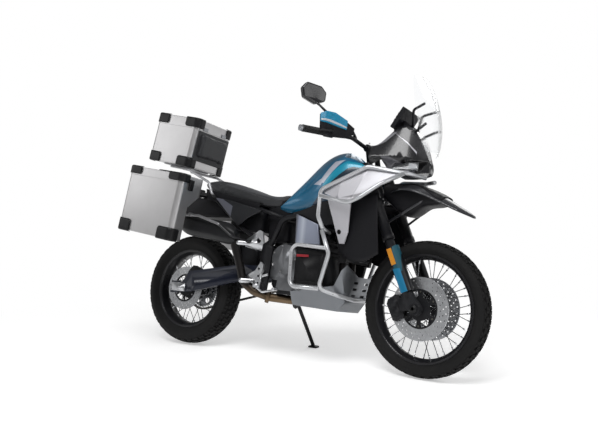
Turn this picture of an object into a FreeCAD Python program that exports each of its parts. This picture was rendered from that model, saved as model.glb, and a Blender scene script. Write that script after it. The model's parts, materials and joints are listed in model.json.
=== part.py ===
import FreeCAD, Part
import math
import os
import re
import Sketcher
from FreeCAD import Placement, Rotation, Vector

# Adventure motorcycle with two side cases and a top case, leaning on its side stand.
#
# Every piece is drawn in the upright machine's own frame, in millimetres:
#   +X forward, +Y to the rider's left, +Z up,
#   with the rear axle above the origin, which lies on the floor.
# At the end each piece gets the lean of the parked machine, and what turns with the
# fork gets the small turn of the parked steering first.

SIZES = {
    # how it stands
    "lean": 10.85,
    "steer": -6.6,
    "stance_x": -753,
    "stance_y": -185.4,
    "stance_z": 2.2,
    # wheels and steering geometry
    "wheelbase": 1530,
    "caster": 24.8,
    "trail": 110,
    "rear_radius": 333.6,
    "rear_width": 150,
    "rear_bead": 228.6,
    "rear_bead_half": 54,
    "front_radius": 347.7,
    "front_width": 95,
    "front_bead": 266.7,
    "front_bead_half": 30,
    "casing": 12,
    "spoke_radius": 2,
    "rim_wall": 5,
    "axle_radius": 12.5,
    "axle_play": 0.06,
    "axle_bore": 9,
    # brakes and chain drive
    "front_disc_radius": 160,
    "rear_disc_radius": 130,
    "disc_thick": 5,
    "front_disc_at": 62,
    "rear_disc_at": 90,
    "sprocket_radius": 106,
    "chain_at": 91,
    "chain_half": 8,
    "chain_gap": 3,
    "front_sprocket_x": 674,
    "front_sprocket_z": 452,
    "front_sprocket_radius": 36,
    # fork, measured along and ahead of the steering axis
    "leg_at": 107.5,
    "leg_ahead": 30,
    "leg_radius": 29,
    "slider_radius": 24,
    "leg_bottom": 742,
    "clamp_reach": 41,
    "leg_top": 1178,
    "lower_clamp": 945,
    "upper_clamp": 1150,
    "stem_radius": 17,
    "head_radius": 34,
    "head_low": 963,
    "head_high": 1136,
    "bar_along": 1281,
    "bar_ahead": 52,
    "bar_radius": 11,
    "bar_thread": 3.4,
    # swingarm
    "arm_inner": 105,
    "arm_thick": 28,
    "pivot_x": 606,
    "pivot_z": 470,
    "pivot_radius": 18,
    "spool_x": 62,
    "spool_z": 336,
    "spool_thread": 3.4,
    "spool_depth": 20,
    # side stand
    "stand_x": 672,
    "stand_y": 150,
    "stand_z": 305,
    "foot_x": 716,
    "foot_y": 306,
    "foot_z": 60.8,
    "stand_radius": 11,
    "stand_axis_x": 0.18,
    "stand_axis_y": 0.815,
    "stand_axis_z": 0.55,
    "stand_pin": 8,
    # exhaust and chassis spacing
    "header_radius": 19,
    "link_radius": 24,
    "muffler_y": -205,
    "peg_y": 156,
    # fork recess of the tank and the nose, measured about the steering axis
    "fork_room_back": -88,
    "fork_room_ahead": 136,
    "fork_room_side": 158,
    "bar_room_back": -52,
    # side cases: length, reach from the machine's middle and heights
    "case_rear": -205,
    "case_front": 217,
    "case_outer": 492,
    "case_inner": 302,
    "case_slim": 402,
    "slim_low": 812,
    "slim_high": 905,
    "case_bottom": 614,
    "case_top": 990,
    "case_pitch": 7.8,
    "case_lid": 48,
    "case_wall": 2,
    "case_corner": 30,
    "case_edge": 4,
    # top case
    "box_rear": -347,
    "box_front": 1,
    "box_half": 170,
    "box_bottom": 1106,
    "box_top": 1408,
    "box_pitch": 9.7,
    "box_lid": 62,
    # corner guards stand this far off the cases
    "guard_proud": 4,
    "guard_low": 68,
    "guard_long": 105,
    "guard_wide": 60,
    "seam_gap": 1,
    # frame tubes
    "frame_tube": 15,
    "subframe_tube": 11,
    "rack_tube": 8,
    "crash_tube": 11,
}

doc = FreeCAD.newDocument("adventure_motorcycle")
sheet = doc.addObject("Spreadsheet::Sheet", "Sizes")
for row, (name, number) in enumerate(SIZES.items(), start=1):
    sheet.set(f"A{row}", name)
    sheet.set(f"B{row}", str(number))
    sheet.setAlias(f"B{row}", name)
doc.recompute()


class Sizes:
    """The sheet's numbers, read back by name."""

    def __getattr__(self, name):
        return float(getattr(sheet, name))


S = Sizes()
pieces = []


def linked(expression):
    """The expression with each size's name pointed at the sheet."""
    def point(match):
        return "Sizes." + match.group() if match.group() in SIZES else match.group()
    return re.sub(r"[a-z_]\w*", point, str(expression))


def value(expression):
    return float(sheet.evalExpression(linked(expression)))


def keep(obj, label, where="chassis", base=None):
    """Names a finished sub-part and notes which side of the steering it is on."""
    obj.Label = label
    pieces.append((obj, where, base or Placement()))
    return obj


# ---------------------------------------------------------------- drawing helpers

def new_body(label, where="chassis", base=None, kept=True):
    body = doc.addObject("PartDesign::Body", label)
    body.Label = label
    return keep(body, label, where, base) if kept else body


def plane_of(body, role):
    return next(item for item in body.Origin.OriginFeatures if item.Role == role)


def new_sketch(body, role, offset=0):
    """A sketch on one of the body's planes, moved along the plane's normal."""
    sketch = body.newObject("Sketcher::SketchObject", body.Label + "_sketch")
    sketch.AttachmentSupport = [(plane_of(body, role), "")]
    sketch.MapMode = "FlatFace"
    sketch.setExpression("AttachmentOffset.Base.z", linked(offset))
    return sketch


def bind(sketch, kind, edge, end, expression):
    """Holds one end of an edge at a distance from the sketch's origin."""
    constraint = Sketcher.Constraint(kind, -1, 1, edge, end, value(expression))
    number = sketch.addConstraint(constraint)
    sketch.setExpression(f"Constraints[{number}]", linked(expression))


def end_at(sketch, edge, point):
    """Which end of the edge, 1 or 2, lies at the point."""
    first = sketch.getPoint(edge, 1)
    return 1 if first.distanceToPoint(point) < 1e-6 else 2


def outline(sketch, rows):
    """Closed outline through rows of (u, v). A third entry, "arc", marks the middle
    of an arc between the corners beside it. Words are expressions on the sheet."""
    spots = [Vector(value(row[0]), value(row[1]), 0) for row in rows]
    corners = [i for i, row in enumerate(rows) if len(row) == 2]
    edges = []
    for here, there in zip(corners, corners[1:] + corners[:1]):
        middle = (here + 1) % len(rows)
        if middle == there:
            shape = Part.LineSegment(spots[here], spots[there])
        else:
            shape = Part.Arc(spots[here], spots[middle], spots[there])
        edges.append((sketch.addGeometry(shape, False), here, there))
    for (edge, here, there), (after, _, _) in zip(edges, edges[1:] + edges[:1]):
        ends = (end_at(sketch, edge, spots[there]), end_at(sketch, after, spots[there]))
        sketch.addConstraint(Sketcher.Constraint("Coincident", edge, ends[0], after, ends[1]))
    for edge, here, there in edges:
        end = end_at(sketch, edge, spots[here])
        for kind, entry in zip(("DistanceX", "DistanceY"), rows[here]):
            if isinstance(entry, str):
                bind(sketch, kind, edge, end, entry)


def circle(sketch, u, v, radius):
    """Circle whose place and radius follow the sheet."""
    spot = Vector(value(u), value(v), 0)
    edge = sketch.addGeometry(Part.Circle(spot, Vector(0, 0, 1), value(radius)), False)
    number = sketch.addConstraint(Sketcher.Constraint("Radius", edge, value(radius)))
    sketch.setExpression(f"Constraints[{number}]", linked(radius))
    for kind, entry in (("DistanceX", u), ("DistanceY", v)):
        if isinstance(entry, str):
            bind(sketch, kind, edge, 3, entry)
    return edge


def rounded(sketch, low_u, high_u, low_v, high_v, radius):
    """Rectangle with four round corners, each size an expression."""
    k = 1 - math.sqrt(0.5)
    rows = []
    for u, v, du, dv, first in (
        (low_u, low_v, 1, 1, "v"),
        (high_u, low_v, -1, 1, "u"),
        (high_u, high_v, -1, -1, "v"),
        (low_u, high_v, 1, -1, "u"),
    ):
        along_u = (f"{u} + {du} * ({radius})", f"{v}")
        along_v = (f"{u}", f"{v} + {dv} * ({radius})")
        middle = (f"{u} + {du * k} * ({radius})", f"{v} + {dv * k} * ({radius})", "arc")
        start, stop = (along_v, along_u) if first == "v" else (along_u, along_v)
        rows += [start, middle, stop]
    outline(sketch, rows)


def feature(body, kind, sketch, length, middle=False, back=False):
    """Pad or Pocket of a sketch."""
    made = body.newObject("PartDesign::" + kind, body.Label + "_" + kind.lower())
    made.Profile = sketch
    made.setExpression("Length", linked(length))
    made.Midplane = middle
    made.Reversed = back
    sketch.Visibility = False
    return made


def revolve(body, sketch, axis="V_Axis", kind="Revolution"):
    made = body.newObject("PartDesign::" + kind, body.Label + "_" + kind.lower())
    made.Profile = sketch
    made.ReferenceAxis = (sketch, [axis])
    made.Angle = 360
    return made


def around(body, item, axis_sketch, count):
    """Polar pattern about the normal of a sketch."""
    made = body.newObject("PartDesign::PolarPattern", body.Label + "_pattern")
    made.Originals = [item]
    made.Axis = (axis_sketch, ["N_Axis"])
    made.Angle = 360
    made.Occurrences = count
    body.Tip = made
    return made


def both_sides(body, items):
    """Mirrors features to the other side of the machine's middle plane."""
    made = body.newObject("PartDesign::Mirrored", body.Label + "_mirror")
    made.Originals = items
    made.MirrorPlane = (plane_of(body, "XZ_Plane"), [""])
    body.Tip = made
    return made


def loft(body, stations, role="YZ_Plane"):
    """Loft through (offset, outline rows) stations."""
    sketches = []
    for offset, rows in stations:
        sketch = new_sketch(body, role, offset)
        outline(sketch, rows)
        sketches.append(sketch)
    made = body.newObject("PartDesign::AdditiveLoft", body.Label + "_loft")
    made.Profile = sketches[0]
    made.Sections = sketches[1:]
    return made


def shaped(label, shape, where="chassis", base=None):
    """Sub-part whose shape comes from Part's own functions."""
    obj = doc.addObject("Part::Feature", label)
    obj.Shape = shape
    return keep(obj, label, where, base)


def bent_path(points, bend):
    """Wire of straight runs through the points with an arc at each inner point."""
    spots = [Vector(*p) for p in points]
    edges = []
    start = spots[0]
    for before, corner, after in zip(spots, spots[1:], spots[2:]):
        back = (before - corner).normalize()
        ahead = (after - corner).normalize()
        turn = math.pi - back.getAngle(ahead)
        cut = bend * math.tan(turn / 2)
        room = 0.45 * min(before.distanceToPoint(corner), after.distanceToPoint(corner))
        cut = min(cut, room)
        radius = cut / math.tan(turn / 2)
        enter = corner + back * cut
        leave = corner + ahead * cut
        inward = (back + ahead).normalize()
        middle = corner + inward * (radius / math.cos(turn / 2) - radius)
        if start.distanceToPoint(enter) > 1e-4:
            edges.append(Part.LineSegment(start, enter).toShape())
        edges.append(Part.Arc(enter, middle, leave).toShape())
        start = leave
    edges.append(Part.LineSegment(start, spots[-1]).toShape())
    return Part.Wire(edges)


def tube(points, radius, bend=40):
    """Solid round tube along bent runs."""
    path = bent_path(points, bend)
    first = path.Edges[0]
    direction = first.tangentAt(first.FirstParameter)
    ring = Part.Wire(Part.Circle(first.valueAt(first.FirstParameter), direction, radius).toShape())
    return path.makePipeShell([ring], True, False)


def rod(start, stop, radius):
    start = Vector(*start)
    along = Vector(*stop) - start
    return Part.makeCylinder(radius, along.Length, start, along)


def toward(a, b, share):
    """Point on the run from a to b; a share below 0 lies before a."""
    return tuple(p + (q - p) * share for p, q in zip(a, b))


def mirrored(shape):
    """The shape and its twin across the machine's middle plane."""
    twin = shape.mirror(Vector(0, 0, 0), Vector(0, 1, 0))
    return [shape, twin]


def joined(shapes):
    """One shape fused from several."""
    whole = shapes[0].fuse(shapes[1:])
    return whole.removeSplitter()


def slab(rows, y_low, y_high):
    """Plate with an outline of (x, z) rows between two distances from the middle."""
    edges = []
    spots = [Vector(row[0], y_low, row[1]) for row in rows]
    corners = [i for i, row in enumerate(rows) if len(row) == 2]
    for here, there in zip(corners, corners[1:] + corners[:1]):
        middle = (here + 1) % len(rows)
        if middle == there:
            edges.append(Part.LineSegment(spots[here], spots[there]).toShape())
        else:
            edges.append(Part.Arc(spots[here], spots[middle], spots[there]).toShape())
    face = Part.Face(Part.Wire(edges))
    return face.extrude(Vector(0, y_high - y_low, 0))


def straight_along(axis):
    """Test for edges that run straight along an axis."""
    def passes(edge):
        if not isinstance(edge.Curve, (Part.Line, Part.LineSegment)):
            return False
        return abs(edge.tangentAt(edge.FirstParameter).dot(axis)) > 0.99
    return passes


def lies_at(axis, distance):
    """Test for edges that lie in a plane across an axis."""
    def passes(edge):
        return all(abs(v.Point.dot(axis) - distance) < 1e-4 for v in edge.Vertexes)
    return passes


def soften(body, item, radius, passes):
    """Fillet on those edges of a feature that pass a test."""
    doc.recompute()
    names = [f"Edge{i}" for i, edge in enumerate(item.Shape.Edges, start=1) if passes(edge)]
    made = body.newObject("PartDesign::Fillet", body.Label + "_fillet")
    made.Base = (item, names)
    made.setExpression("Radius", linked(radius))
    body.Tip = made
    return made


def through(body, sketch):
    """Pocket right through the body, both ways from its sketch."""
    made = body.newObject("PartDesign::Pocket", body.Label + "_opening")
    made.Profile = sketch
    made.Type = "ThroughAll"
    made.Midplane = True
    sketch.Visibility = False
    return made


def mirror_whole(body):
    """Twin of the whole body on the other side of the machine."""
    made = body.newObject("PartDesign::Mirrored", body.Label + "_mirror")
    made.TransformMode = "Whole shape"
    made.MirrorPlane = (plane_of(body, "XZ_Plane"), [""])
    body.Tip = made
    return made


def plates(label, rows, low, high, edge=0, feet=(), inner=0, holes=(), kept=True):
    """Flat piece from low to high beside the middle plane, and its twin. Feet are
    round studs (x, z, radius) that reach in to the distance inner."""
    body = new_body(label, kept=kept)
    sketch = new_sketch(body, "XZ_Plane", low)
    outline(sketch, rows)
    last = feature(body, "Pad", sketch, f"({high}) - ({low})")
    if edge:
        last = soften(body, last, edge, lies_at(Vector(0, -1, 0), value(high)))
    if holes:
        drilled = new_sketch(body, "XZ_Plane", high)
        for x, z, radius in holes:
            circle(drilled, x, z, radius)
        feature(body, "Pocket", drilled, f"({high}) - ({low})")
    if feet:
        studs = new_sketch(body, "XZ_Plane", inner)
        for x, z, radius in feet:
            circle(studs, x, z, radius)
        feature(body, "Pad", studs, f"({low}) - ({inner}) + 1")
    mirror_whole(body)
    return body


def placed(label):
    """A finished sub-part's shape in the machine's frame."""
    doc.recompute()
    obj, _, base = next(entry for entry in pieces if entry[0].Label == label)
    shape = obj.Shape.copy()
    shape.Placement = base.multiply(shape.Placement)
    return shape


def coped(shape, *labels):
    """The shape with the room of finished sub-parts taken out of it."""
    return shape.cut([placed(label) for label in labels])


def cut_from(body, tool, label):
    """Sub-part made by cutting a shape out of a body."""
    knife = doc.addObject("Part::Feature", label + "_knife")
    knife.Shape = tool
    made = doc.addObject("Part::Cut", label)
    made.Base = body
    made.Tool = knife
    return keep(made, label)


def sheet_loft(sections, ruled=False):
    """Closed loft through polygons, wound so that its faces point outward."""
    wires = [Part.makePolygon(section + section[:1]) for section in sections]
    shape = Part.makeLoft(wires, True, ruled)
    if shape.Volume < 0:
        shape = Part.makeLoft(wires[::-1], True, ruled)
    return shape


# ---------------------------------------------------------------- steering frame

FORWARD = Vector(math.cos(math.radians(S.caster)), 0, math.sin(math.radians(S.caster)))
UPWARD = Vector(-math.sin(math.radians(S.caster)), 0, math.cos(math.radians(S.caster)))
AXIS_FOOT = Vector(S.wheelbase + S.trail, 0, 0)


def on_fork(along, ahead, side):
    """Point given along and ahead of the steering axis and to the left of it."""
    return AXIS_FOOT + UPWARD * along + FORWARD * ahead + Vector(0, side, 0)


AXLE_ALONG = (Vector(S.wheelbase, 0, S.front_radius) - AXIS_FOOT).dot(UPWARD)
AXLE_AHEAD = (Vector(S.wheelbase, 0, S.front_radius) - AXIS_FOOT).dot(FORWARD)
# a frame whose Z runs up the steering axis and whose X points ahead of it
FORK_FRAME = Placement(AXIS_FOOT, Rotation(Vector(0, 1, 0), -S.caster))
# the side stand's hinge line
STAND_AXIS = Vector(S.stand_axis_x, S.stand_axis_y, S.stand_axis_z).normalize()

# ---------------------------------------------------------------- wheels

# columns: name, steering or chassis, axle x, hub barrel, spoke flange, flange at,
# disc's inner radius, window's inner radius
WHEELS = (
    ("front", "steering", "wheelbase", 22, 46, 36, 100, 60),
    ("rear", "chassis", "0", 34, 62, 40, 84, 48),
)


def tyre(name, where, base):
    """Hollow casing: side walls bulge past the beads and the crown is one arc."""
    body = new_body(name + "_tyre", where, base)
    sketch = new_sketch(body, "XY_Plane")
    r, w, b, h = (f"{name}_radius", f"{name}_width", f"{name}_bead", f"{name}_bead_half")
    wall = "casing"
    belly = f"({b} + 0.48 * ({r} - {b}))"
    shoulder = f"({r} - 0.13 * {w})"
    outline(sketch, [
        (f"{b}", f"-{h}"),
        (f"{b} + 12", f"-{h}"),
        (belly, f"-{w} / 2", "arc"),
        (shoulder, f"-0.42 * {w}"),
        (f"{r}", "0", "arc"),
        (shoulder, f"0.42 * {w}"),
        (belly, f"{w} / 2", "arc"),
        (f"{b} + 12", f"{h}"),
        (f"{b}", f"{h}"),
        (f"{b}", f"{h} - {wall}"),
        (f"{b} + 12", f"{h} - {wall}"),
        (belly, f"{w} / 2 - {wall}", "arc"),
        (f"{shoulder} - {wall}", f"0.42 * {w} - {wall}"),
        (f"{r} - 1.5 * {wall}", "0", "arc"),
        (f"{shoulder} - {wall}", f"{wall} - 0.42 * {w}"),
        (belly, f"{wall} - {w} / 2", "arc"),
        (f"{b} + 12", f"{wall} - {h}"),
        (f"{b}", f"{wall} - {h}"),
    ])
    revolve(body, sketch)


def rim(name, where, base):
    """Spoked rim: flanges that hold the beads and a dropped well between them."""
    body = new_body(name + "_rim", where, base)
    sketch = new_sketch(body, "XY_Plane")
    b, h, wall = (f"{name}_bead", f"{name}_bead_half", "rim_wall")
    outline(sketch, [
        (f"{b} + 11", f"-{h} - {wall}"),
        (f"{b} + 11", f"-{h}"),
        (f"{b}", f"-{h}"),
        (f"{b}", f"14 - {h}"),
        (f"{b} - 13", f"20 - {h}"),
        (f"{b} - 13", f"{h} - 20"),
        (f"{b}", f"{h} - 14"),
        (f"{b}", f"{h}"),
        (f"{b} + 11", f"{h}"),
        (f"{b} + 11", f"{h} + {wall}"),
        (f"{b} - {wall}", f"{h} + {wall}"),
        (f"{b} - {wall}", f"{h} - 12"),
        (f"{b} - 13 - {wall}", f"{h} - 19"),
        (f"{b} - 13 - {wall}", f"19 - {h}"),
        (f"{b} - {wall}", f"12 - {h}"),
        (f"{b} - {wall}", f"-{h} - {wall}"),
    ])
    revolve(body, sketch)


def ring_sector(low, high, half_angle):
    """Outline of a window between two radii, round the direction of +u."""
    def spot(radius, angle, *mark):
        return (radius * math.cos(angle), radius * math.sin(angle)) + mark
    return [
        spot(low, -half_angle), spot(high, -half_angle), spot(high, 0, "arc"),
        spot(high, half_angle), spot(low, half_angle), spot(low, 0, "arc"),
    ]


def disc_faces(name):
    """Where each of the wheel's discs begins: one on each side of the front wheel."""
    right = f"({name}_disc_at - disc_thick / 2)"
    return (right, f"(-{name}_disc_at - disc_thick / 2)") if name == "front" else (right,)


def hub(name, where, base, barrel, flange, flange_at, ring, window, arms=6):
    """Barrel with two spoke flanges and an armed carrier for each disc, bored for the axle."""
    body = new_body(name + "_hub", where, base)
    sketch = new_sketch(body, "XY_Plane")
    right = f"({name}_disc_at - disc_thick / 2)"
    left = right if name == "front" else "(chain_at - 3)"
    outline(sketch, [
        ("axle_radius", f"-{right}"),
        (window - 4, f"-{right}"),
        (window - 4, f"4 - {right}"),
        (barrel + 6, f"8 - {right}"),
        (barrel + 6, -flange_at - 4),
        (flange, -flange_at - 4),
        (flange, -flange_at + 4),
        (barrel, -flange_at + 14),
        (barrel, flange_at - 14),
        (flange, flange_at - 4),
        (flange, flange_at + 4),
        (barrel + 6, flange_at + 4),
        (barrel + 6, f"{left} - 8"),
        (window - 4, f"{left} - 4"),
        (window - 4, f"{left}"),
        ("axle_radius", f"{left}"),
    ])
    revolve(body, sketch)
    for face in disc_faces(name):
        disc = new_sketch(body, "XZ_Plane", face)
        circle(disc, "0", "0", f"{ring}")
        feature(body, "Pad", disc, "disc_thick")
        opening = new_sketch(body, "XZ_Plane", f"{face} + disc_thick")
        outline(opening, ring_sector(window, ring - 9, math.radians(180 / arms - 9)))
        around(body, feature(body, "Pocket", opening, "disc_thick"), opening, arms)
    bore = new_sketch(body, "XZ_Plane")
    circle(bore, "0", "0", "axle_radius + axle_play")
    through(body, bore)


def spokes(name, where, base, flange, flange_at, count=36):
    """Crossed wire spokes, alternately to each flange and leading or trailing. Each is
    seated in its flange and has its nipple against the rim's well."""
    reach = value(f"{name}_bead - rim_wall - 12")
    wires = []
    for i in range(count):
        side = 1 if i % 2 else -1
        lead = 1 if (i // 2) % 2 else -1
        outer_angle = 2 * math.pi * i / count
        inner_angle = outer_angle + lead * math.radians(62)
        hub_y = side * (flange_at + lead * 3.6)
        rim_y = side * (8 + lead * 3)
        start = (math.cos(inner_angle) * (flange - 6), hub_y, math.sin(inner_angle) * (flange - 6))
        stop = (math.cos(outer_angle) * reach, rim_y, math.sin(outer_angle) * reach)
        nipple = rod(toward(stop, start, 0.09), stop, 2 * S.spoke_radius)
        wires.append(rod(start, stop, S.spoke_radius).fuse(nipple))
    doc.recompute()
    seats = [obj.Shape for obj, _, _ in pieces if obj.Label in (name + "_hub", name + "_rim")]
    shaped(name + "_spokes", Part.makeCompound(wires).cut(seats), where, base)


def brake_disc(label, name, where, base, inner, count):
    """Drilled ring round the hub's carrier, on both sides of the front wheel."""
    body = new_body(label, where, base)
    width = value(f"{name}_disc_radius") - inner
    for face in disc_faces(name):
        sketch = new_sketch(body, "XZ_Plane", face)
        circle(sketch, "0", "0", f"{name}_disc_radius")
        circle(sketch, "0", "0", f"{inner}")
        feature(body, "Pad", sketch, "disc_thick")
        drilled = new_sketch(body, "XZ_Plane", f"{face} + disc_thick")
        for share, turn in ((0.24, 0), (0.5, 0.33), (0.76, 0.66)):
            far = inner + width * share
            angle = 2 * math.pi * turn / count
            circle(drilled, far * math.cos(angle), far * math.sin(angle), 3.6)
        around(body, feature(body, "Pocket", drilled, "disc_thick"), drilled, count)


FRONT_CENTRE = Placement(Vector(S.wheelbase, 0, S.front_radius), Rotation())
REAR_CENTRE = Placement(Vector(0, 0, S.rear_radius), Rotation())

for name, where, axle_x, barrel, flange, flange_at, ring, window in WHEELS:
    centre = FRONT_CENTRE if name == "front" else REAR_CENTRE
    tyre(name, where, centre)
    rim(name, where, centre)
    hub(name, where, centre, barrel, flange, flange_at, ring, window)
    spokes(name, where, centre, flange, flange_at)
brake_disc("front_brake_discs", "front", "steering", FRONT_CENTRE, 100, 26)
brake_disc("rear_brake_disc", "rear", "chassis", REAR_CENTRE, 84, 22)


def toothed(teeth, radius, y_low, thick):
    """Toothed disc round the Y axis: each gap between two teeth is one arc."""
    tip, root = radius + 4, radius - 4
    step = 2 * math.pi / teeth

    def spot(far, angle):
        return Vector(far * math.cos(angle), y_low, far * math.sin(angle))

    edges = []
    for i in range(teeth):
        a = i * step
        edges.append(Part.LineSegment(spot(tip, a - 0.1 * step), spot(tip, a + 0.1 * step)).toShape())
        gap = Part.Arc(spot(tip, a + 0.1 * step), spot(root, a + 0.5 * step), spot(tip, a + 0.9 * step))
        edges.append(gap.toShape())
    return Part.Face(Part.Wire(edges)).extrude(Vector(0, thick, 0))


def rear_sprocket():
    plate = toothed(44, S.sprocket_radius, S.chain_at - 3, 6)
    windows = [Part.makeCylinder(38, 200, Vector(0, 0, 0), Vector(0, 1, 0))]
    for i in range(6):
        angle = 2 * math.pi * i / 6
        centre = Vector(74 * math.cos(angle), 0, 74 * math.sin(angle))
        windows.append(Part.makeCylinder(17, 200, centre, Vector(0, 1, 0)))
    shaped("rear_sprocket", plate.cut(windows), "chassis", REAR_CENTRE)


rear_sprocket()

# ---------------------------------------------------------------- fork and handlebar


def clamp(along, thick):
    """Clamp round both fork legs and the stem."""
    low = along - thick / 2
    parts = [Part.makeBox(64, 2 * S.leg_at, thick, Vector(-12, -S.leg_at, low)),
             Part.makeCylinder(S.head_radius, thick, Vector(0, 0, low))]
    for side in (-1, 1):
        parts.append(Part.makeCylinder(S.clamp_reach, thick, Vector(S.leg_ahead, side * S.leg_at, low)))
    plate = joined(parts)
    plate.Placement = FORK_FRAME
    return plate


def fork_uppers():
    """Outer tubes of the upside-down fork with their lower collars, clamps and stem."""
    parts = [clamp(S.lower_clamp, 34), clamp(S.upper_clamp, 26)]
    for side in (-1, 1):
        y = side * S.leg_at
        low = on_fork(S.leg_bottom, S.leg_ahead, y)
        parts.append(rod(low, on_fork(S.leg_top, S.leg_ahead, y), S.leg_radius))
        parts.append(rod(low, on_fork(S.leg_bottom + 26, S.leg_ahead, y), S.leg_radius + 3))
    parts.append(rod(on_fork(S.lower_clamp, 0, 0), on_fork(S.upper_clamp, 0, 0), S.stem_radius))
    shaped("fork_uppers", joined(parts), "steering")


def fork_sliders():
    """Bright inner tubes with the feet that hold the axle and, behind, the calipers."""
    a, low = AXLE_AHEAD, AXLE_ALONG
    back, front = S.leg_ahead - 28, S.leg_ahead + 28
    foot_rows = [(a - 32, low), (a, low - 32, "arc"), (a + 32, low), (front, low + 62),
                 (front, low + 92), (back, low + 92), (back, low + 40)]
    lug_rows = [(back + 4, low + 6), (back + 4, low + 86), (-40, low + 74), (-40, low + 18)]
    feet = []
    for side in (-1, 1):
        y = side * S.leg_at
        slider = Part.makeCylinder(S.slider_radius, S.leg_bottom - low - 60,
                                   Vector(S.leg_ahead, y, low + 60))
        foot = slab(foot_rows, y - 20, y + 20)
        lug = slab(lug_rows, *sorted((side * 88, side * 100)))
        foot = joined([foot, slider, lug])
        foot.Placement = FORK_FRAME
        feet.append(foot.cut(rod((S.wheelbase, -200, S.front_radius),
                                 (S.wheelbase, 200, S.front_radius), S.axle_radius)))
    shaped("fork_sliders", Part.makeCompound(feet), "steering")


def fork_guards():
    """Half-round guard in front of each slider, narrowed to a fin at its top."""
    low = AXLE_ALONG + 92
    profile = [(S.leg_ahead - 12, low), (S.leg_ahead + 60, low), (S.leg_ahead + 60, low + 250),
               (S.leg_ahead + 18, low + 238), (S.leg_ahead + 6, low + 165), (S.leg_ahead - 14, low + 135)]
    guards = []
    for side in (-1, 1):
        y = side * S.leg_at
        centre = Vector(S.leg_ahead, y, low)
        shell = Part.makeCylinder(S.leg_radius + 11, 260, centre)
        shell = shell.cut(Part.makeCylinder(S.leg_radius + 5, 260, centre))
        shell = shell.common(slab(profile, *sorted((y - side * 16, y + side * 60))))
        foot = slab([(S.leg_ahead + 20, low), (S.leg_ahead + 36, low), (S.leg_ahead + 36, low + 10),
                     (S.leg_ahead + 20, low + 10)], y - 10, y + 10)
        shell = joined([shell, foot.cut(Part.makeCylinder(S.slider_radius, 50, centre))])
        shell.Placement = FORK_FRAME
        guards.append(shell)
    shaped("fork_guards", Part.makeCompound(guards), "steering")


def front_axle():
    """Hollow axle with a nut at each end and a spacer beside each foot."""
    reach = S.leg_at + 20
    centre = Vector(S.wheelbase, 0, S.front_radius)
    parts = [Part.makeCylinder(S.axle_radius, 2 * reach + 24, centre - Vector(0, reach + 12, 0),
                               Vector(0, 1, 0))]
    for side in (-1, 1):
        nut = rod((S.wheelbase, side * reach, S.front_radius),
                  (S.wheelbase, side * (reach + 9), S.front_radius), 21)
        inner = S.front_disc_at + S.disc_thick / 2 + 1.5
        spacer = rod((S.wheelbase, side * inner, S.front_radius),
                     (S.wheelbase, side * (S.leg_at - 20), S.front_radius), 19)
        parts += [nut, spacer]
    bore = rod((S.wheelbase, -200, S.front_radius), (S.wheelbase, 200, S.front_radius), S.axle_bore)
    shaped("front_axle", joined(parts).cut(bore), "steering")


def front_calipers():
    """Radial brake calipers behind the fork feet, one over each disc."""
    low = AXLE_ALONG
    made = []
    for side in (-1, 1):
        inner, outer = sorted((side * 43, side * 88))
        rows = [(-108, low - 6), (-92, low - 18), (-36, low - 10), (-28, low + 96), (-48, low + 112),
                (-96, low + 104), (-112, low + 84)]
        block = slab(rows, inner, outer)
        block = block.makeFillet(5, [edge for edge in block.Edges if lies_at(Vector(0, 1, 0), side * 88)(edge)])
        cover = Part.makeCylinder(19, 8, Vector(-72, outer if side > 0 else inner - 8, low + 22),
                                  Vector(0, 1, 0))
        second = cover.copy()
        second.translate(Vector(4, 0, 50))
        block = joined([block, cover, second])
        block.Placement = FORK_FRAME
        disc_room = Part.makeCylinder(S.front_disc_radius + 5, S.disc_thick + 10,
                                      Vector(S.wheelbase, side * S.front_disc_at - S.disc_thick / 2 - 5,
                                             S.front_radius), Vector(0, 1, 0))
        made.append(block.cut(disc_room))
    shaped("front_calipers", coped(Part.makeCompound(made), "fork_sliders"), "steering")


BAR = on_fork(S.bar_along, S.bar_ahead, 0)
# half of the bar, from the middle to the left end: x, y, z
BAR_HALF = (
    (BAR.x, 0, BAR.z),
    (BAR.x, 70, BAR.z),
    (BAR.x - 30, 160, BAR.z + 38),
    (BAR.x - 106, 305, BAR.z + 44),
    (BAR.x - 156, 436, BAR.z + 44),
)


def on_side(point, side):
    """A point given for the left, on the side asked for."""
    return (point[0], side * point[1], point[2])


def handlebar():
    """Tapered bar on two risers, with a threaded hole in each end for its weight."""
    parts = []
    for side in (-1, 1):
        half = [on_side(point, side) for point in BAR_HALF]
        bar = tube(half, S.bar_radius, 60)
        parts.append(bar.cut(rod(half[-1], toward(half[-1], half[-2], 0.22), S.bar_thread)))
        y = side * 42
        parts.append(rod(on_fork(S.upper_clamp + 8, 22, y), on_fork(S.bar_along, S.bar_ahead, y), 15))
        parts.append(rod((BAR.x, y - 14, BAR.z), (BAR.x, y + 14, BAR.z), 21))
    shaped("handlebar", coped(joined(parts), "fork_uppers"), "steering")


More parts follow.
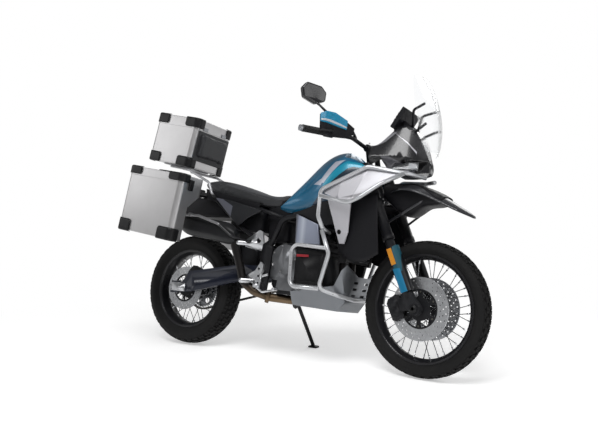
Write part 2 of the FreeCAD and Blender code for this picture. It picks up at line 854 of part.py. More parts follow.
def hand_controls():
    """Grips, switch housings and levers round the bar's two ends."""
    made = []
    for side in (-1, 1):
        inner, end = (on_side(point, side) for point in BAR_HALF[3:5])
        grip = rod(inner, toward(inner, end, 0.985), 17)
        ribs = [rod(toward(inner, end, share), toward(inner, end, share + 0.05), 19)
                for share in (0, 0.93)]
        house = rod(toward(inner, end, -0.34), toward(inner, end, 0), 23)
        lever = tube([
            toward(inner, end, -0.2)[:2] + (inner[2] - 4,),
            (inner[0] + 58, inner[1] + side * 6, inner[2] + 2),
            (inner[0] + 52, inner[1] + side * 40, inner[2] - 2),
            (end[0] + 52, end[1] - side * 6, end[2] - 4),
        ], 6, 30)
        core = rod(toward(inner, end, 0.3), toward(inner, end, 1.1), 0.8 * S.bar_radius)
        made.append(joined([grip, house, lever] + ribs).cut(core))
    shaped("hand_controls", coped(Part.makeCompound(made), "handlebar"), "steering")


# lower and upper edge of the hand guard from its outer tip to its inner end, in the
# fork's frame: to the side, ahead of the axis and along it, twice
GUARD_EDGES = (
    (392, 0, 1350, 30, 1424),
    (360, 0, 1334, 48, 1432),
    (300, 2, 1322, 60, 1428),
    (215, 25, 1320, 68, 1395),
    (166, 52, 1336, 72, 1364),
)


def guard_section(row, side, low, high, ahead, thick):
    """Slice of the guard between two shares of its height."""
    out, low_ahead, low_along, high_ahead, high_along = row
    corners = []
    for share, off in ((low, 0), (low, thick), (high, thick), (high, 0)):
        along = low_along + (high_along - low_along) * share
        at = low_ahead + (high_ahead - low_ahead) * share
        corners.append(on_fork(along, at + ahead + off, side * out))
    return corners


def handguards():
    """Dark shell in front of each hand on an arm to the bar, and the bright shield on it."""
    shells = []
    shields = []
    for side in (-1, 1):
        shell = sheet_loft([guard_section(row, side, 0, 1, 0, 4) for row in GUARD_EDGES], True)
        start = on_side(toward(BAR_HALF[1], BAR_HALF[2], 0.7), side)
        arm = tube([start, tuple(on_fork(1335, 45, side * 130)), tuple(on_fork(1350, 62, side * 172))], 8, 20)
        shells.append(joined([shell, arm]))
        shields.append(sheet_loft([guard_section(row, side, 0.5, 1.04, 4.3, 4) for row in GUARD_EDGES[:4]],
                                  True))
    shaped("handguards", coped(Part.makeCompound(shells), "handlebar", "hand_controls"), "steering")
    shaped("handguard_shields", Part.makeCompound(shields), "steering")


def mirrors():
    """Rounded five-sided heads on bent stems from the switch housings."""
    # columns: outboard of the middle, above it
    corners = ((68, 22), (40, 55), (-44, 43), (-72, 14), (-68, -34), (-12, -55), (58, -28))
    made = []
    for side in (-1, 1):
        centre = Vector(BAR.x - 118, side * 420, BAR.z + 222)
        ring = [Vector(0, side * out, up) for out, up in corners]
        head = Part.Face(Part.makePolygon(ring + ring[:1])).extrude(Vector(26, 0, 0))
        head = head.makeFillet(16, [edge for edge in head.Edges if straight_along(Vector(1, 0, 0))(edge)])
        head = head.makeFillet(9, [edge for edge in head.Edges if lies_at(Vector(1, 0, 0), 26)(edge)])
        head.Placement = Placement(centre, Rotation(Vector(0, 0, 1), side * -22))
        stem = tube([
            (BAR_HALF[3][0] + 12, side * 286, BAR.z + 50),
            (BAR_HALF[3][0] + 26, side * 300, BAR.z + 130),
            (centre.x + 16, centre.y - side * 26, centre.z - 52),
            (centre.x + 13, centre.y - side * 10, centre.z),
        ], 6, 30)
        made.append(joined([head, stem]))
    shaped("mirrors", coped(Part.makeCompound(made), "hand_controls", "handlebar"), "steering")


# beak over the front wheel: x, z of the crest, half width, drop of the edge
FENDER = (
    (1292, 938, 60, 16),
    (1345, 968, 84, 26),
    (1415, 985, 112, 34),
    (1560, 946, 92, 34),
    (1680, 878, 52, 22),
    (1772, 822, 8, 5),
)


def high_fender(thick=8):
    """Arched beak that narrows to a point, on two brackets and two stays to the fork."""
    wires = []
    for x, z, half, drop in FENDER:
        outer = Part.Arc(Vector(x, -half, z - drop), Vector(x, 0, z), Vector(x, half, z - drop))
        inner = Part.Arc(Vector(x, half, z - drop - thick), Vector(x, 0, z - thick),
                         Vector(x, -half, z - drop - thick))
        left = Part.LineSegment(Vector(x, half, z - drop), Vector(x, half, z - drop - thick))
        right = Part.LineSegment(Vector(x, -half, z - drop - thick), Vector(x, -half, z - drop))
        wires.append(Part.Wire([run.toShape() for run in (outer, left, inner, right)]))
    parts = [Part.makeLoft(wires, True, False)]
    for side in (-1, 1):
        parts.append(tube([tuple(on_fork(S.leg_bottom + 90, S.leg_ahead + 20, side * 100)),
                           (1480, side * 78, 868), (1550, side * 58, 916)], 6, 30))
        parts.append(rod(on_fork(S.lower_clamp, 46, side * 50), (1352, side * 50, 952), 8))
    shaped("high_fender", coped(joined(parts), "fork_uppers"), "steering")


fork_uppers()
fork_sliders()
fork_guards()
front_axle()
front_calipers()
handlebar()
hand_controls()
handguards()
mirrors()
high_fender()

# ---------------------------------------------------------------- frame


def frame_runs(grow=0):
    """The frame's main tubes, or the room that they need."""
    upper = [tuple(on_fork(1090, -20, 24)), tuple(on_fork(1075, -92, 46)), (1068, 112, 893),
             (905, 132, 812), (700, 140, 770), (644, 148, 620)]
    lower = [tuple(on_fork(1000, -20, 20)), tuple(on_fork(965, -95, 42)), (1105, 112, 765),
             (1010, 132, 700), (905, 132, 812)]
    runs = []
    for points in (upper, lower):
        runs += mirrored(tube(points, S.frame_tube + grow, 60))
    return runs


def main_frame():
    """Head tube, spars, pivot plates, seat rails and the side stand's lug."""
    plate = slab([(568, 420), (592, 620), (636, 650), (660, 600), (652, 470), (640, 350), (600, 350)],
                 140, S.peg_y)
    rail = tube([(700, 136, 776), (560, 124, 815), (330, 116, 855), (150, 100, 890), (-60, 84, 945)],
                S.subframe_tube, 50)
    strut = tube([(630, 146, 596), (420, 124, 705), (170, 102, 884)], S.subframe_tube, 50)
    parts = frame_runs()
    for shape in (plate, rail, strut):
        parts += mirrored(shape)
    parts.append(rod(on_fork(S.head_low, 0, 0), on_fork(S.head_high, 0, 0), S.head_radius))
    for x, half, z in ((700, 140, 770), (330, 116, 855), (-40, 86, 940)):
        parts.append(rod((x, -half, z), (x, half, z), S.subframe_tube))
    parts.append(rod((S.pivot_x, -S.peg_y, S.pivot_z), (S.pivot_x, S.peg_y, S.pivot_z), 12))
    hinge = Vector(S.stand_x, S.stand_y, S.stand_z)
    axis = STAND_AXIS
    parts.append(rod(hinge - axis * 30, hinge + axis * 18, S.stand_pin))
    parts.append(rod(hinge + axis * 15, hinge + axis * 21, 14))
    parts.append(rod(hinge - axis * 30, hinge - axis * 15.5, 16))
    parts.append(tube([tuple(hinge - axis * 23), (668, 109, 325), (632, 148, 368)], 8, 10))
    stem_room = rod(on_fork(S.head_low - 50, 0, 0), on_fork(S.head_high + 50, 0, 0), S.stem_radius + 0.06)
    shaped("main_frame", joined(parts).cut(stem_room))


def swingarm():
    """Two box arms with open ends for the axle's adjusters, a brace and the pivot tube."""
    body = new_body("swingarm")
    arm = new_sketch(body, "XZ_Plane", "arm_inner")
    outline(arm, [
        (-78, 371), (10, 371), (52, 436), (440, 500),
        ("pivot_x", "pivot_z + 26"), ("pivot_x + 26", "pivot_z", "arc"), ("pivot_x", "pivot_z - 26"),
        (450, 408), (86, 318), (-78, 298), (-78, 312), (34, 312), (34, 362), (-78, 362),
    ])
    parts = [feature(body, "Pad", arm, "arm_thick")]
    recess = new_sketch(body, "XZ_Plane", "arm_inner + arm_thick")
    outline(recess, [(110, 352), (440, 430), (520, 440), (520, 470), (440, 480), (80, 420)])
    parts.append(feature(body, "Pocket", recess, "3"))
    threaded = new_sketch(body, "XZ_Plane", "arm_inner + arm_thick")
    circle(threaded, "spool_x", "spool_z", "spool_thread")
    parts.append(feature(body, "Pocket", threaded, "spool_depth"))
    both_sides(body, parts)
    brace = new_sketch(body, "XZ_Plane")
    outline(brace, [(392, 396), (462, 404), (470, 468), (400, 462)])
    feature(body, "Pad", brace, "2 * arm_inner + 2", middle=True)
    pivot = new_sketch(body, "XZ_Plane")
    circle(pivot, "pivot_x", "pivot_z", "pivot_radius")
    feature(body, "Pad", pivot, "2 * arm_inner + 2", middle=True)
    bore = new_sketch(body, "XZ_Plane")
    circle(bore, "pivot_x", "pivot_z", "12")
    through(body, bore)


def rear_axle():
    """Axle with its adjuster blocks, nuts and spacers."""
    z = S.rear_radius
    reach = S.arm_inner + S.arm_thick
    parts = [rod((0, -reach - 16, z), (0, reach + 16, z), S.axle_radius)]
    for side in (-1, 1):
        parts.append(Part.makeBox(100, 32, 50, Vector(-66, side * (reach - 13) - 16, 312)))
        parts.append(rod((0, side * reach, z), (0, side * (reach + 13), z), 20))
        hub_end = S.rear_disc_at + S.disc_thick / 2 + 1.5 if side < 0 else S.chain_at + 4.5
        parts.append(rod((0, side * hub_end, z), (0, side * (S.arm_inner + 1), z), 18))
    shaped("rear_axle", coped(joined(parts), "swingarm"))


def rear_caliper():
    """Sliding caliper over the top of the rear disc, on a hanger under the arm."""
    inner, outer = -S.rear_disc_at - 24, -S.rear_disc_at + 14
    rows = [(30, 436), (46, 400), (128, 384), (150, 404), (136, 448), (66, 474)]
    block = slab(rows, inner, outer)
    hanger = slab([(20, 356), (60, 350), (100, 400), (60, 410)], -S.arm_inner + 1, -S.rear_disc_at - 8)
    room = Part.makeCylinder(S.rear_disc_radius + 5, S.disc_thick + 10,
                             Vector(0, -S.rear_disc_at - S.disc_thick / 2 - 5, S.rear_radius),
                             Vector(0, 1, 0))
    shaped("rear_caliper", coped(joined([block, hanger]).cut(room), "swingarm", "rear_axle"))


def chain():
    """Closed drive chain as two straight runs and the wraps round both sprockets."""
    far = Vector(0, 0, S.rear_radius)
    near = Vector(S.front_sprocket_x, 0, S.front_sprocket_z)
    span = near - far
    lean = math.atan2(span.z, span.x)
    shapes = []
    for grow in (S.chain_gap + 12, S.chain_gap):
        r_far = S.sprocket_radius + 4 + grow
        r_near = S.front_sprocket_radius + 4 + grow
        tilt = math.acos((r_far - r_near) / math.hypot(span.x, span.z))
        spots = []
        for centre, radius in ((far, r_far), (near, r_near)):
            for sign in (1, -1):
                angle = lean + sign * tilt
                spots.append(centre + Vector(radius * math.cos(angle), 0, radius * math.sin(angle)))
        back = far - Vector(r_far * math.cos(lean), 0, r_far * math.sin(lean))
        front = near + Vector(r_near * math.cos(lean), 0, r_near * math.sin(lean))
        wire = Part.Wire([
            Part.LineSegment(spots[0], spots[2]).toShape(),
            Part.Arc(spots[2], front, spots[3]).toShape(),
            Part.LineSegment(spots[3], spots[1]).toShape(),
            Part.Arc(spots[1], back, spots[0]).toShape(),
        ])
        loop = Part.Face(wire).extrude(Vector(0, 2 * S.chain_half, 0))
        loop.translate(Vector(0, S.chain_at - S.chain_half, 0))
        shapes.append(loop)
    shaped("drive_chain", shapes[0].cut(shapes[1]))


def rear_shock():
    """Spring and damper unit between the swingarm's brace and the frame's cross tube."""
    low, high = (470, 0, 440), (688, 0, 762)
    parts = [rod(low, high, 15), rod(toward(low, high, 0.2), toward(low, high, 0.24), 38),
             rod(toward(low, high, 0.24), toward(low, high, 0.8), 25),
             rod(toward(low, high, 0.8), toward(low, high, 0.93), 36)]
    turns = 8
    for i in range(turns):
        centre = Vector(*toward(low, high, 0.27 + 0.5 * i / turns))
        parts.append(Part.makeTorus(28, 5.5, centre, Vector(*high) - Vector(*low)))
    shaped("rear_shock", coped(joined(parts), "swingarm", "main_frame"))


main_frame()
swingarm()
rear_axle()
rear_caliper()
chain()
rear_shock()

# ---------------------------------------------------------------- engine and exhaust


def engine():
    """Crankcase with the cylinder bank leaning forward on it, and the sprocket's stub."""
    crankcase = slab([(660, 400), (700, 350), (960, 350), (1002, 400), (996, 560), (930, 610),
                      (760, 640), (690, 600), (664, 520)], -130, 130)
    bank = slab([(790, 600), (950, 560), (1024, 740), (1004, 800), (880, 812), (850, 780)], -112, 112)
    bank = bank.makeFillet(14, [edge for edge in bank.Edges if straight_along(Vector(0, 1, 0))(edge)])
    fins = [slab([(820 + 12 * i, 640 + 26 * i), (962 + 12 * i, 590 + 26 * i),
                  (968 + 12 * i, 602 + 26 * i), (826 + 12 * i, 652 + 26 * i)], -120, 120)
            for i in range(4)]
    near = Vector(S.front_sprocket_x, 0, S.front_sprocket_z)
    room = [Part.makeCylinder(68, 60, near + Vector(0, 74, 0), Vector(0, 1, 0)),
            slab([(600, 372), (668, 372), (668, 532), (600, 532)], 74, 134)]
    block = joined([crankcase, bank] + fins).cut(room)
    sprocket = toothed(16, S.front_sprocket_radius, S.chain_at - 3, 6)
    sprocket.translate(near)
    stub = Part.makeCylinder(16, 60, near + Vector(0, 50, 0), Vector(0, 1, 0))
    shaped("engine", joined([block, sprocket, stub]))


def engine_covers():
    """Round clutch and generator covers with a stepped rim, and the sump's sides."""
    # columns: x, z, radius, reach on the right, reach on the left
    rounds = ((752, 545, 80, 176, 160), (860, 470, 92, 164, 172), (690, 470, 44, 150, 0))
    parts = []
    for side in (-1, 1):
        covers = [slab([(700, 372), (958, 372), (974, 470), (890, 566), (716, 530)],
                       *sorted((side * 130, side * 146)))]
        for x, z, radius, right, left in rounds:
            reach = right if side < 0 else left
            if reach:
                covers.append(rod((x, side * 130, z), (x, side * (reach - 8), z), radius))
                covers.append(rod((x, side * 130, z), (x, side * reach, z), radius - 14))
        parts.append(joined(covers))
    shaped("engine_covers", coped(Part.makeCompound(parts), "engine", "main_frame"))


def exhaust_header():
    """Two downpipes from the cylinder heads that meet under the engine, and the pipe
    that rises behind the right foot to the muffler."""
    parts = []
    for y in (-55, 55):
        parts.append(tube([(1012, y, 690), (1058, y, 672), (1060, y, 470), (1036, y * 0.8, 340),
                           (960, y * 0.4 - 20, 322)], S.header_radius, 50))
        parts.append(rod((1008, y, 692), (1020, y, 687), 29))
    parts.append(tube([(990, -18, 322), (840, -60, 322), (640, -104, 328), (560, -150, 352),
                       (498, -178, 400), (470, -182, 480), (428, -198, 600), (424, -202, 644)],
                      S.link_radius, 60))
    parts.append(rod((640, -104, 328), (624, -112, 332), 36))
    shaped("exhaust_header", coped(joined(parts), "engine", "main_frame", "engine_covers", "muffler"))


def muffler():
    """Rounded can that rises to the rear beside the wheel, with a heat shield and an outlet."""
    body = new_body("muffler")
    # columns: x, z, half width, half height
    rows = ((438, 652, 30, 36), (392, 664, 45, 58), (250, 686, 46, 60), (70, 714, 46, 60), (28, 720, 32, 42))
    stations = []
    for x, z, wide, high in rows:
        y = S.muffler_y
        stations.append((x, [(y - wide, z - high * 0.45), (y, z - high, "arc"), (y + wide, z - high * 0.45),
                             (y + wide, z + high * 0.45), (y, z + high, "arc"),
                             (y - wide, z + high * 0.45)]))
    loft(body, stations)
    outlet = new_sketch(body, "YZ_Plane", 28)
    circle(outlet, "muffler_y", "722", "20")
    feature(body, "Pocket", outlet, "60", back=True)


def radiator():
    """Radiator's core between two end tanks, and its top hose."""
    body = new_body("radiator")
    core = new_sketch(body, "XZ_Plane")
    outline(core, [(1090, 552), (1120, 552), (1148, 752), (1118, 752)])
    feature(body, "Pad", core, "300", middle=True)
    ends = new_sketch(body, "XZ_Plane", 128)
    outline(ends, [(1084, 545), (1126, 545), (1154, 758), (1112, 758)])
    both_sides(body, [feature(body, "Pad", ends, "24")])


engine()
engine_covers()
muffler()
exhaust_header()
radiator()

# ---------------------------------------------------------------- bodywork


def tank():
    """Fuel tank: narrow between the knees, widening and rising forward, hollowed
    where the fork sweeps and over the frame's spars."""
    body = new_body("tank_body", kept=False)
    # columns: x, bottom z, top z, half width at the bottom, half width at the shoulder, shoulder z
    rows = (
        (648, 828, 862, 96, 98, 846),
        (760, 812, 990, 118, 112, 905),
        (880, 830, 1092, 165, 150, 980),
        (1000, 850, 1150, 205, 190, 1050),
        (1100, 880, 1146, 200, 190, 1070),
        (1195, 960, 1110, 165, 160, 1060),
    )
    stations = []
    for x, low, high, wide, shoulder, middle in rows:
        stations.append((x, [
            (-wide * 0.8, low), (wide * 0.8, low), (wide, (low + middle) / 2, "arc"),
            (shoulder, middle), (shoulder * 0.62, middle + (high - middle) * 0.8, "arc"),
            (0, high), (-shoulder * 0.62, middle + (high - middle) * 0.8, "arc"),
            (-shoulder, middle), (-wide, (low + middle) / 2, "arc"),
        ]))
    loft(body, stations)
    room = new_sketch(body, "XZ_Plane")
    corners = [(850, S.fork_room_back), (1192, S.fork_room_back), (1192, S.bar_room_back),
               (1320, S.bar_room_back), (1320, 200), (850, 200)]
    outline(room, [tuple(on_fork(along, ahead, 0))[::2] for along, ahead in corners])
    feature(body, "Pocket", room, "2 * fork_room_side", middle=True)
    spars = joined(frame_runs(3) + mirrored(tube([(700, 136, 776), (560, 124, 815), (330, 116, 855)],
                                                S.subframe_tube + 3, 50)))
    cut_from(body, spars, "fuel_tank")


def seat():
    """Stepped seat: high pillion end, low rider's dip and a nose against the tank."""
    body = new_body("seat_body", kept=False)
    # columns: x, bottom z, top z, half width
    rows = (
        (60, 966, 1006, 92),
        (180, 912, 1000, 128),
        (330, 884, 972, 142),
        (480, 856, 928, 140),
        (600, 846, 908, 118),
        (690, 868, 940, 84),
    )
    stations = []
    for x, low, high, wide in rows:
        top = high - 22
        stations.append((x, [
            (-wide + 16, low), (wide - 16, low), (wide, top), (wide * 0.62, high - 4, "arc"),
            (0, high), (-wide * 0.62, high - 4, "arc"), (-wide, top),
        ]))
    loft(body, stations)
    doc.recompute()
    cut_from(body, placed("fuel_tank").fuse(placed("main_frame")), "seat")


def side_fairings():
    """Shroud each side: a faceted panel between the upper bars and a leg beside the
    radiator with a round hole."""
    # columns: x, distance from the middle and z of the upper edge, then of the lower edge
    rows = (
        (1020, 262, 904, 1032, 270, 892),
        (1110, 252, 962, 1105, 274, 868),
        (1245, 216, 1034, 1178, 266, 858),
        (1330, 184, 1028, 1240, 252, 884),
        (1408, 152, 1018, 1320, 214, 956),
    )
    thick = 8
    made = []
    for side in (-1, 1):
        sections = []
        for x, y, z, low_x, low_y, low_z in rows:
            sections.append([Vector(x, side * y, z), Vector(low_x, side * low_y, low_z),
                             Vector(low_x, side * (low_y - thick), low_z),
                             Vector(x, side * (y - thick), z)])
        panel = sheet_loft(sections, True)
        leg = []
        for z, low_x, high_x, y in ((640, 1108, 1136, 206), (700, 1086, 1156, 214), (870, 1046, 1186, 266)):
            leg.append([Vector(low_x, side * y, z), Vector(high_x, side * y, z),
                        Vector(high_x, side * (y - thick), z), Vector(low_x, side * (y - thick), z)])
        leg = sheet_loft(leg, True)
        hole = rod((1104, side * 150, 700), (1104, side * 300, 700), 13)
        pins = [rod((1100, side * 140, 742), (1100, side * 216, 742), 7)]
        made.append(joined([panel, leg.cut(hole)] + pins))
    bars = [placed("crash_bars"), placed("radiator")]
    shaped("side_fairings", Part.makeCompound(made).cut(bars))


def nose_fairing():
    """Nose round the lamps: a keel that rises from the beak to the screen's foot."""
    body = new_body("nose_fairing")
    # columns: x, bottom z, middle z, top z, half width, half width at the top
    rows = (
        (1228, 1050, 1100, 1168, 200, 168),
        (1300, 1040, 1110, 1246, 164, 100),
        (1380, 1034, 1110, 1292, 132, 74),
        (1450, 1036, 1100, 1218, 96, 50),
        (1502, 1046, 1066, 1096, 34, 20),
    )
    stations = []
    for x, low, middle, high, wide, top in rows:
        stations.append((x, [
            (-wide * 0.66, low), (wide * 0.66, low), (wide, middle), (top, high), (-top, high), (-wide, middle),
        ]))
    loft(body, stations)
    room = new_sketch(body, "XZ_Plane")
    corners = [(850, -260), (1200, -260), (1200, S.fork_room_ahead), (850, S.fork_room_ahead)]
    outline(room, [tuple(on_fork(along, ahead, 0))[::2] for along, ahead in corners])
    feature(body, "Pocket", room, "2 * fork_room_side", middle=True)
    lamp = new_sketch(body, "YZ_Plane", 1332)
    for side in (-1, 1):
        outline(lamp, [(side * 30, 1046), (side * 118, 1052), (side * 104, 1096), (side * 30, 1104)])
    feature(body, "Pocket", lamp, "200", back=True)


def lamp_lenses():
    """Clear lamps in the nose, amber indicators beside the beak and the tail lamp's glass."""
    parts = []
    # columns: x, half width at the lamp's lower edge and at its upper edge
    for side in (-1, 1):
        lens = []
        for x, shrink in ((1334, 0), (1440, 10)):
            lens.append([Vector(x, side * 31, 1047 + shrink / 3),
                         Vector(x, side * (117 - 4 * shrink), 1053 + shrink / 3),
                         Vector(x, side * (103 - 3 * shrink), 1095), Vector(x, side * 31, 1103)])
        parts.append(sheet_loft(lens, True))
        amber = slab([(1420, 1050), (1462, 1054), (1456, 1078), (1420, 1082)],
                     *sorted((side * 84, side * 112)))
        parts.append(amber.cut(placed("nose_fairing")))
        parts.append(rod((-248, side * 118, 760), (-270, side * 118, 760), 18))
    parts.append(slab([(-258, 780), (-268, 780), (-268, 830), (-258, 830)], -56, 56))
    shaped("lamp_lenses", coped(Part.makeCompound(parts), "nose_fairing"))


def windscreen():
    """Clear curved sheet, leaning back."""
    wires = []
    # columns: x at the middle, z, half width, sweep back of the edge
    for x, z, half, sweep in ((1525, 1150, 90, 40), (1530, 1290, 145, 60), (1500, 1430, 150, 60),
                              (1440, 1560, 100, 34)):
        front = Part.Arc(Vector(x - sweep, -half, z), Vector(x, 0, z), Vector(x - sweep, half, z)).toShape()
        back = Part.Arc(Vector(x - sweep - 4, half, z), Vector(x - 4, 0, z),
                        Vector(x - sweep - 4, -half, z)).toShape()
        left = Part.LineSegment(Vector(x - sweep, half, z), Vector(x - sweep - 4, half, z)).toShape()
        right = Part.LineSegment(Vector(x - sweep - 4, -half, z), Vector(x - sweep, -half, z)).toShape()
        wires.append(Part.Wire([front, left, back, right]))
    shaped("windscreen", Part.makeLoft(wires, True, False))


def cockpit():
    """Display on its bracket, and the four stalks that hold the screen."""
    display = Part.makeBox(24, 190, 126, Vector(-12, -95, -63))
    display = display.makeFillet(8, [edge for edge in display.Edges if straight_along(Vector(1, 0, 0))(edge)])
    display.Placement = Placement(Vector(1330, 0, 1334), Rotation(Vector(0, 1, 0), 32))
    parts = [display, slab([(1330, 1230), (1400, 1230), (1400, 1290), (1345, 1330), (1330, 1300)], -40, 40)]
    for side in (-1, 1):
        parts.append(tube([(1400, side * 46, 1240), (1424, side * 62, 1262), (1486, side * 86, 1296)], 7, 20))
        parts.append(tube([(1390, side * 30, 1270), (1400, side * 62, 1380), (1470, side * 84, 1404)], 7, 20))
    shaped("cockpit", coped(joined(parts), "nose_fairing", "windscreen"))


def crash_bars():
    """Tubes round the tank's front, the radiator and the engine's sides."""
    # x, y, z along each tube on the left
    runs = (
        [(1500, 60, 1012), (1420, 148, 1022), (1245, 226, 1042), (1010, 280, 912), (1009, 280, 772),
         (1040, 272, 706)],
        [(1012, 284, 880), (1178, 288, 842), (1238, 280, 872), (1324, 232, 950), (1416, 154, 1018)],
        [(1036, 274, 700), (1090, 274, 580), (1040, 262, 398), (1110, 180, 372), (1146, 70, 356),
         (1146, 0, 356)],
        [(1080, 274, 606), (880, 262, 620), (852, 258, 590), (861, 258, 397), (1040, 262, 397)],
        [(1040, 270, 706), (1006, 140, 700)],
        [(861, 258, 420), (861, 140, 420)],
    )
    parts = []
    for points in runs:
        parts += mirrored(tube(points, S.crash_tube, 40))
    shaped("crash_bars", joined(parts).cut([placed(label) for label in
                                            ("main_frame", "engine", "engine_covers", "nose_fairing")]))


def side_bags():
    """Flat glossy bags that hang inside the lower bars, with a raised pocket."""
    made = []
    for side in (-1, 1):
        bag = slab([(874, 412), (1026, 412), (1064, 590), (874, 602)], *sorted((side * 206, side * 250)))
        bag = bag.makeFillet(10, [edge for edge in bag.Edges if lies_at(Vector(0, 1, 0), side * 250)(edge)])
        pocket = slab([(892, 430), (1012, 430), (1042, 572), (892, 580)], *sorted((side * 249, side * 258)))
        strap = rod((900, side * 140, 500), (900, side * 207, 500), 8)
        made.append(joined([bag, pocket, strap]))
    shaped("side_bags", coped(Part.makeCompound(made), "crash_bars", "engine", "engine_covers"))


def skid_plate():
    """Bent sheet under the engine: a floor, two side walls and a front that rises
    behind the front tyre, with slots for air."""
    # columns: x and z of the floor, half width there, x, z and half width of the wall's top
    rows = (
        (800, 300, 115, 800, 372, 150),
        (1085, 288, 125, 1085, 420, 180),
        (1128, 345, 116, 1132, 500, 200),
        (1160, 474, 60, 1160, 530, 196),
    )
    thick = 5
    outer = []
    inner = []
    for x, z, half, top_x, top_z, top_half in rows:
        outer.append([Vector(top_x, -top_half, top_z), Vector(x, -half, z), Vector(x, half, z),
                      Vector(top_x, top_half, top_z), Vector(x, 0, top_z + 60)])
        inner.append([Vector(top_x, -top_half + thick, top_z + thick), Vector(x, -half + thick, z + thick),
                      Vector(x, half - thick, z + thick), Vector(top_x, top_half - thick, top_z + thick),
                      Vector(x, 0, top_z + 60 + thick)])
    tray = sheet_loft(outer, True).cut(sheet_loft(inner, True))
    above = Part.makeBox(600, 600, 300, Vector(700, -300, 531))
    slots = []
    for side in (-1, 1):
        for i in range(3):
            z = 372 + 34 * i
            slot = Part.makeBox(200, 44, 13, Vector(1000, side * (52 + 4 * i) - 22, z))
            slots.append(slot)
    tray = tray.cut([above] + slots)
    feet = [rod((x, side * 100, 296), (x, side * 100, 352), 9) for x in (830, 960) for side in (-1, 1)]
    parts = [max(tray.Solids, key=lambda solid: solid.Volume)] + feet
    shaped("skid_plate", joined(parts).cut([placed(label) for label in
                                            ("engine", "engine_covers", "crash_bars", "exhaust_header",
                                             "radiator")]))


def footpegs():
    """Foot rests for two on drilled hangers, and the brake and gear levers."""
    made = []
    for side in (-1, 1):
        inner, outer = S.peg_y, S.peg_y + 12
        plate = slab([(598, 520), (618, 505), (604, 366), (580, 366), (566, 424), (540, 392), (506, 420),
                      (520, 444), (566, 470)], *sorted((side * inner, side * outer)))
        plate = plate.cut([rod((590, 0, z), (590, side * 300, z), 7) for z in (400, 440, 480)])
        peg = rod((545, side * (outer - 6), 408), (535, side * 256, 405), 13)
        link = rod((612, side * (inner + 3), 440), (650, side * (inner + 3), 452), 7)
        lever = tube([(576, side * (outer + 5), 384), (640, side * (outer + 20), 352),
                      (742, side * 196, 372)], 6, 20)
        toe = rod((742, side * 196, 372), (746, side * 240, 374), 8)
        boss = rod((576, side * inner, 384), (576, side * (outer + 12), 384), 10)
        rear = slab([(470, 600), (470, 640), (560, 700), (584, 690), (600, 604), (590, 580)],
                    *sorted((side * 146, side * 156)))
        rear = rear.cut(rod((560, 0, 640), (560, side * 300, 640), 15))
        rear_peg = rod((482, side * 150, 620), (478, side * 240, 616), 12)
        made.append(joined([plate, peg, link, lever, toe, boss]))
        made.append(joined([rear, rear_peg]))
    shaped("footpegs", coped(Part.makeCompound(made), "main_frame", "engine_covers", "exhaust_header"))


def luggage_racks():
    """Hoops that carry the side cases, grab rails and the plate under the top case."""
    hoop = [(110, 100, 893), (90, 220, 893), (0, 281, 885), (-150, 281, 875), (-150, 281, 765),
            (196, 272, 757), (344, 268, 714), (430, 246, 650), (500, 165, 628),
            (508, 148, 640)]
    brace = [(20, 281, 884), (20, 277, 760)]
    grab = [(200, 108, 878), (180, 150, 900), (140, 150, 980), (-40, 140, 1063), (-230, 96, 1098)]
    parts = []
    for points in (hoop, brace, grab):
        parts += mirrored(tube(points, S.rack_tube, 34))
    for x, z in ((-110, 878), (150, 759)):
        parts += mirrored(rod((x, 276, z), (x, 301, z), 12))
    plate = Part.makeBox(232, 210, 8, Vector(-116, -105, -8))
    plate = plate.makeFillet(30, [edge for edge in plate.Edges if straight_along(Vector(0, 0, 1))(edge)])
    floor = Placement(Vector((S.box_rear + S.box_front) / 2, 0, (S.box_bottom + S.box_top) / 2),
                      Rotation(Vector(0, 1, 0), S.box_pitch))
    plate.Placement = floor.multiply(Placement(Vector(10, 0, (S.box_bottom - S.box_top) / 2 - 0.5),
                                               Rotation()))
    parts.append(plate)
    shaped("luggage_racks", joined(parts).cut([placed(label) for label in
                                               ("seat", "main_frame", "muffler", "footpegs", "exhaust_header")]))


def rear_mudguard():
    """Short tail under the rack, with the arms and cups of the rear indicators."""
    tail = slab([(-64, 968), (-180, 966), (-258, 846), (-258, 720), (-236, 720), (-230, 812), (-150, 900),
                 (-64, 930)], -70, 70)
    arms = [rod((-241, -112, 760), (-241, 112, 760), 5.5)]
    cups = [rod((-234, side * 118, 760), (-248, side * 118, 760), 20) for side in (-1, 1)]
    shaped("rear_mudguard", joined([tail] + arms + cups))


tank()
seat()
tail_sides = plates("tail_sides", [(214, 884), (330, 868), (560, 812), (470, 770), (402, 716), (372, 742)],
                    146, 160, edge=4, feet=((330, 855, 8), (480, 820, 8)), inner=129, kept=False)
cut_from(tail_sides, placed("main_frame"), "tail_panels")
plates("engine_side_panels", [(824, 791), (966, 737), (984, 630), (833, 632)], 186, 202, edge=5,
       feet=((900, 700, 10),), inner=120)
nose_fairing()
windscreen()
cockpit()
crash_bars()
side_fairings()
lamp_lenses()
side_bags()
skid_plate()
footpegs()
luggage_racks()
rear_mudguard()

# ---------------------------------------------------------------- luggage


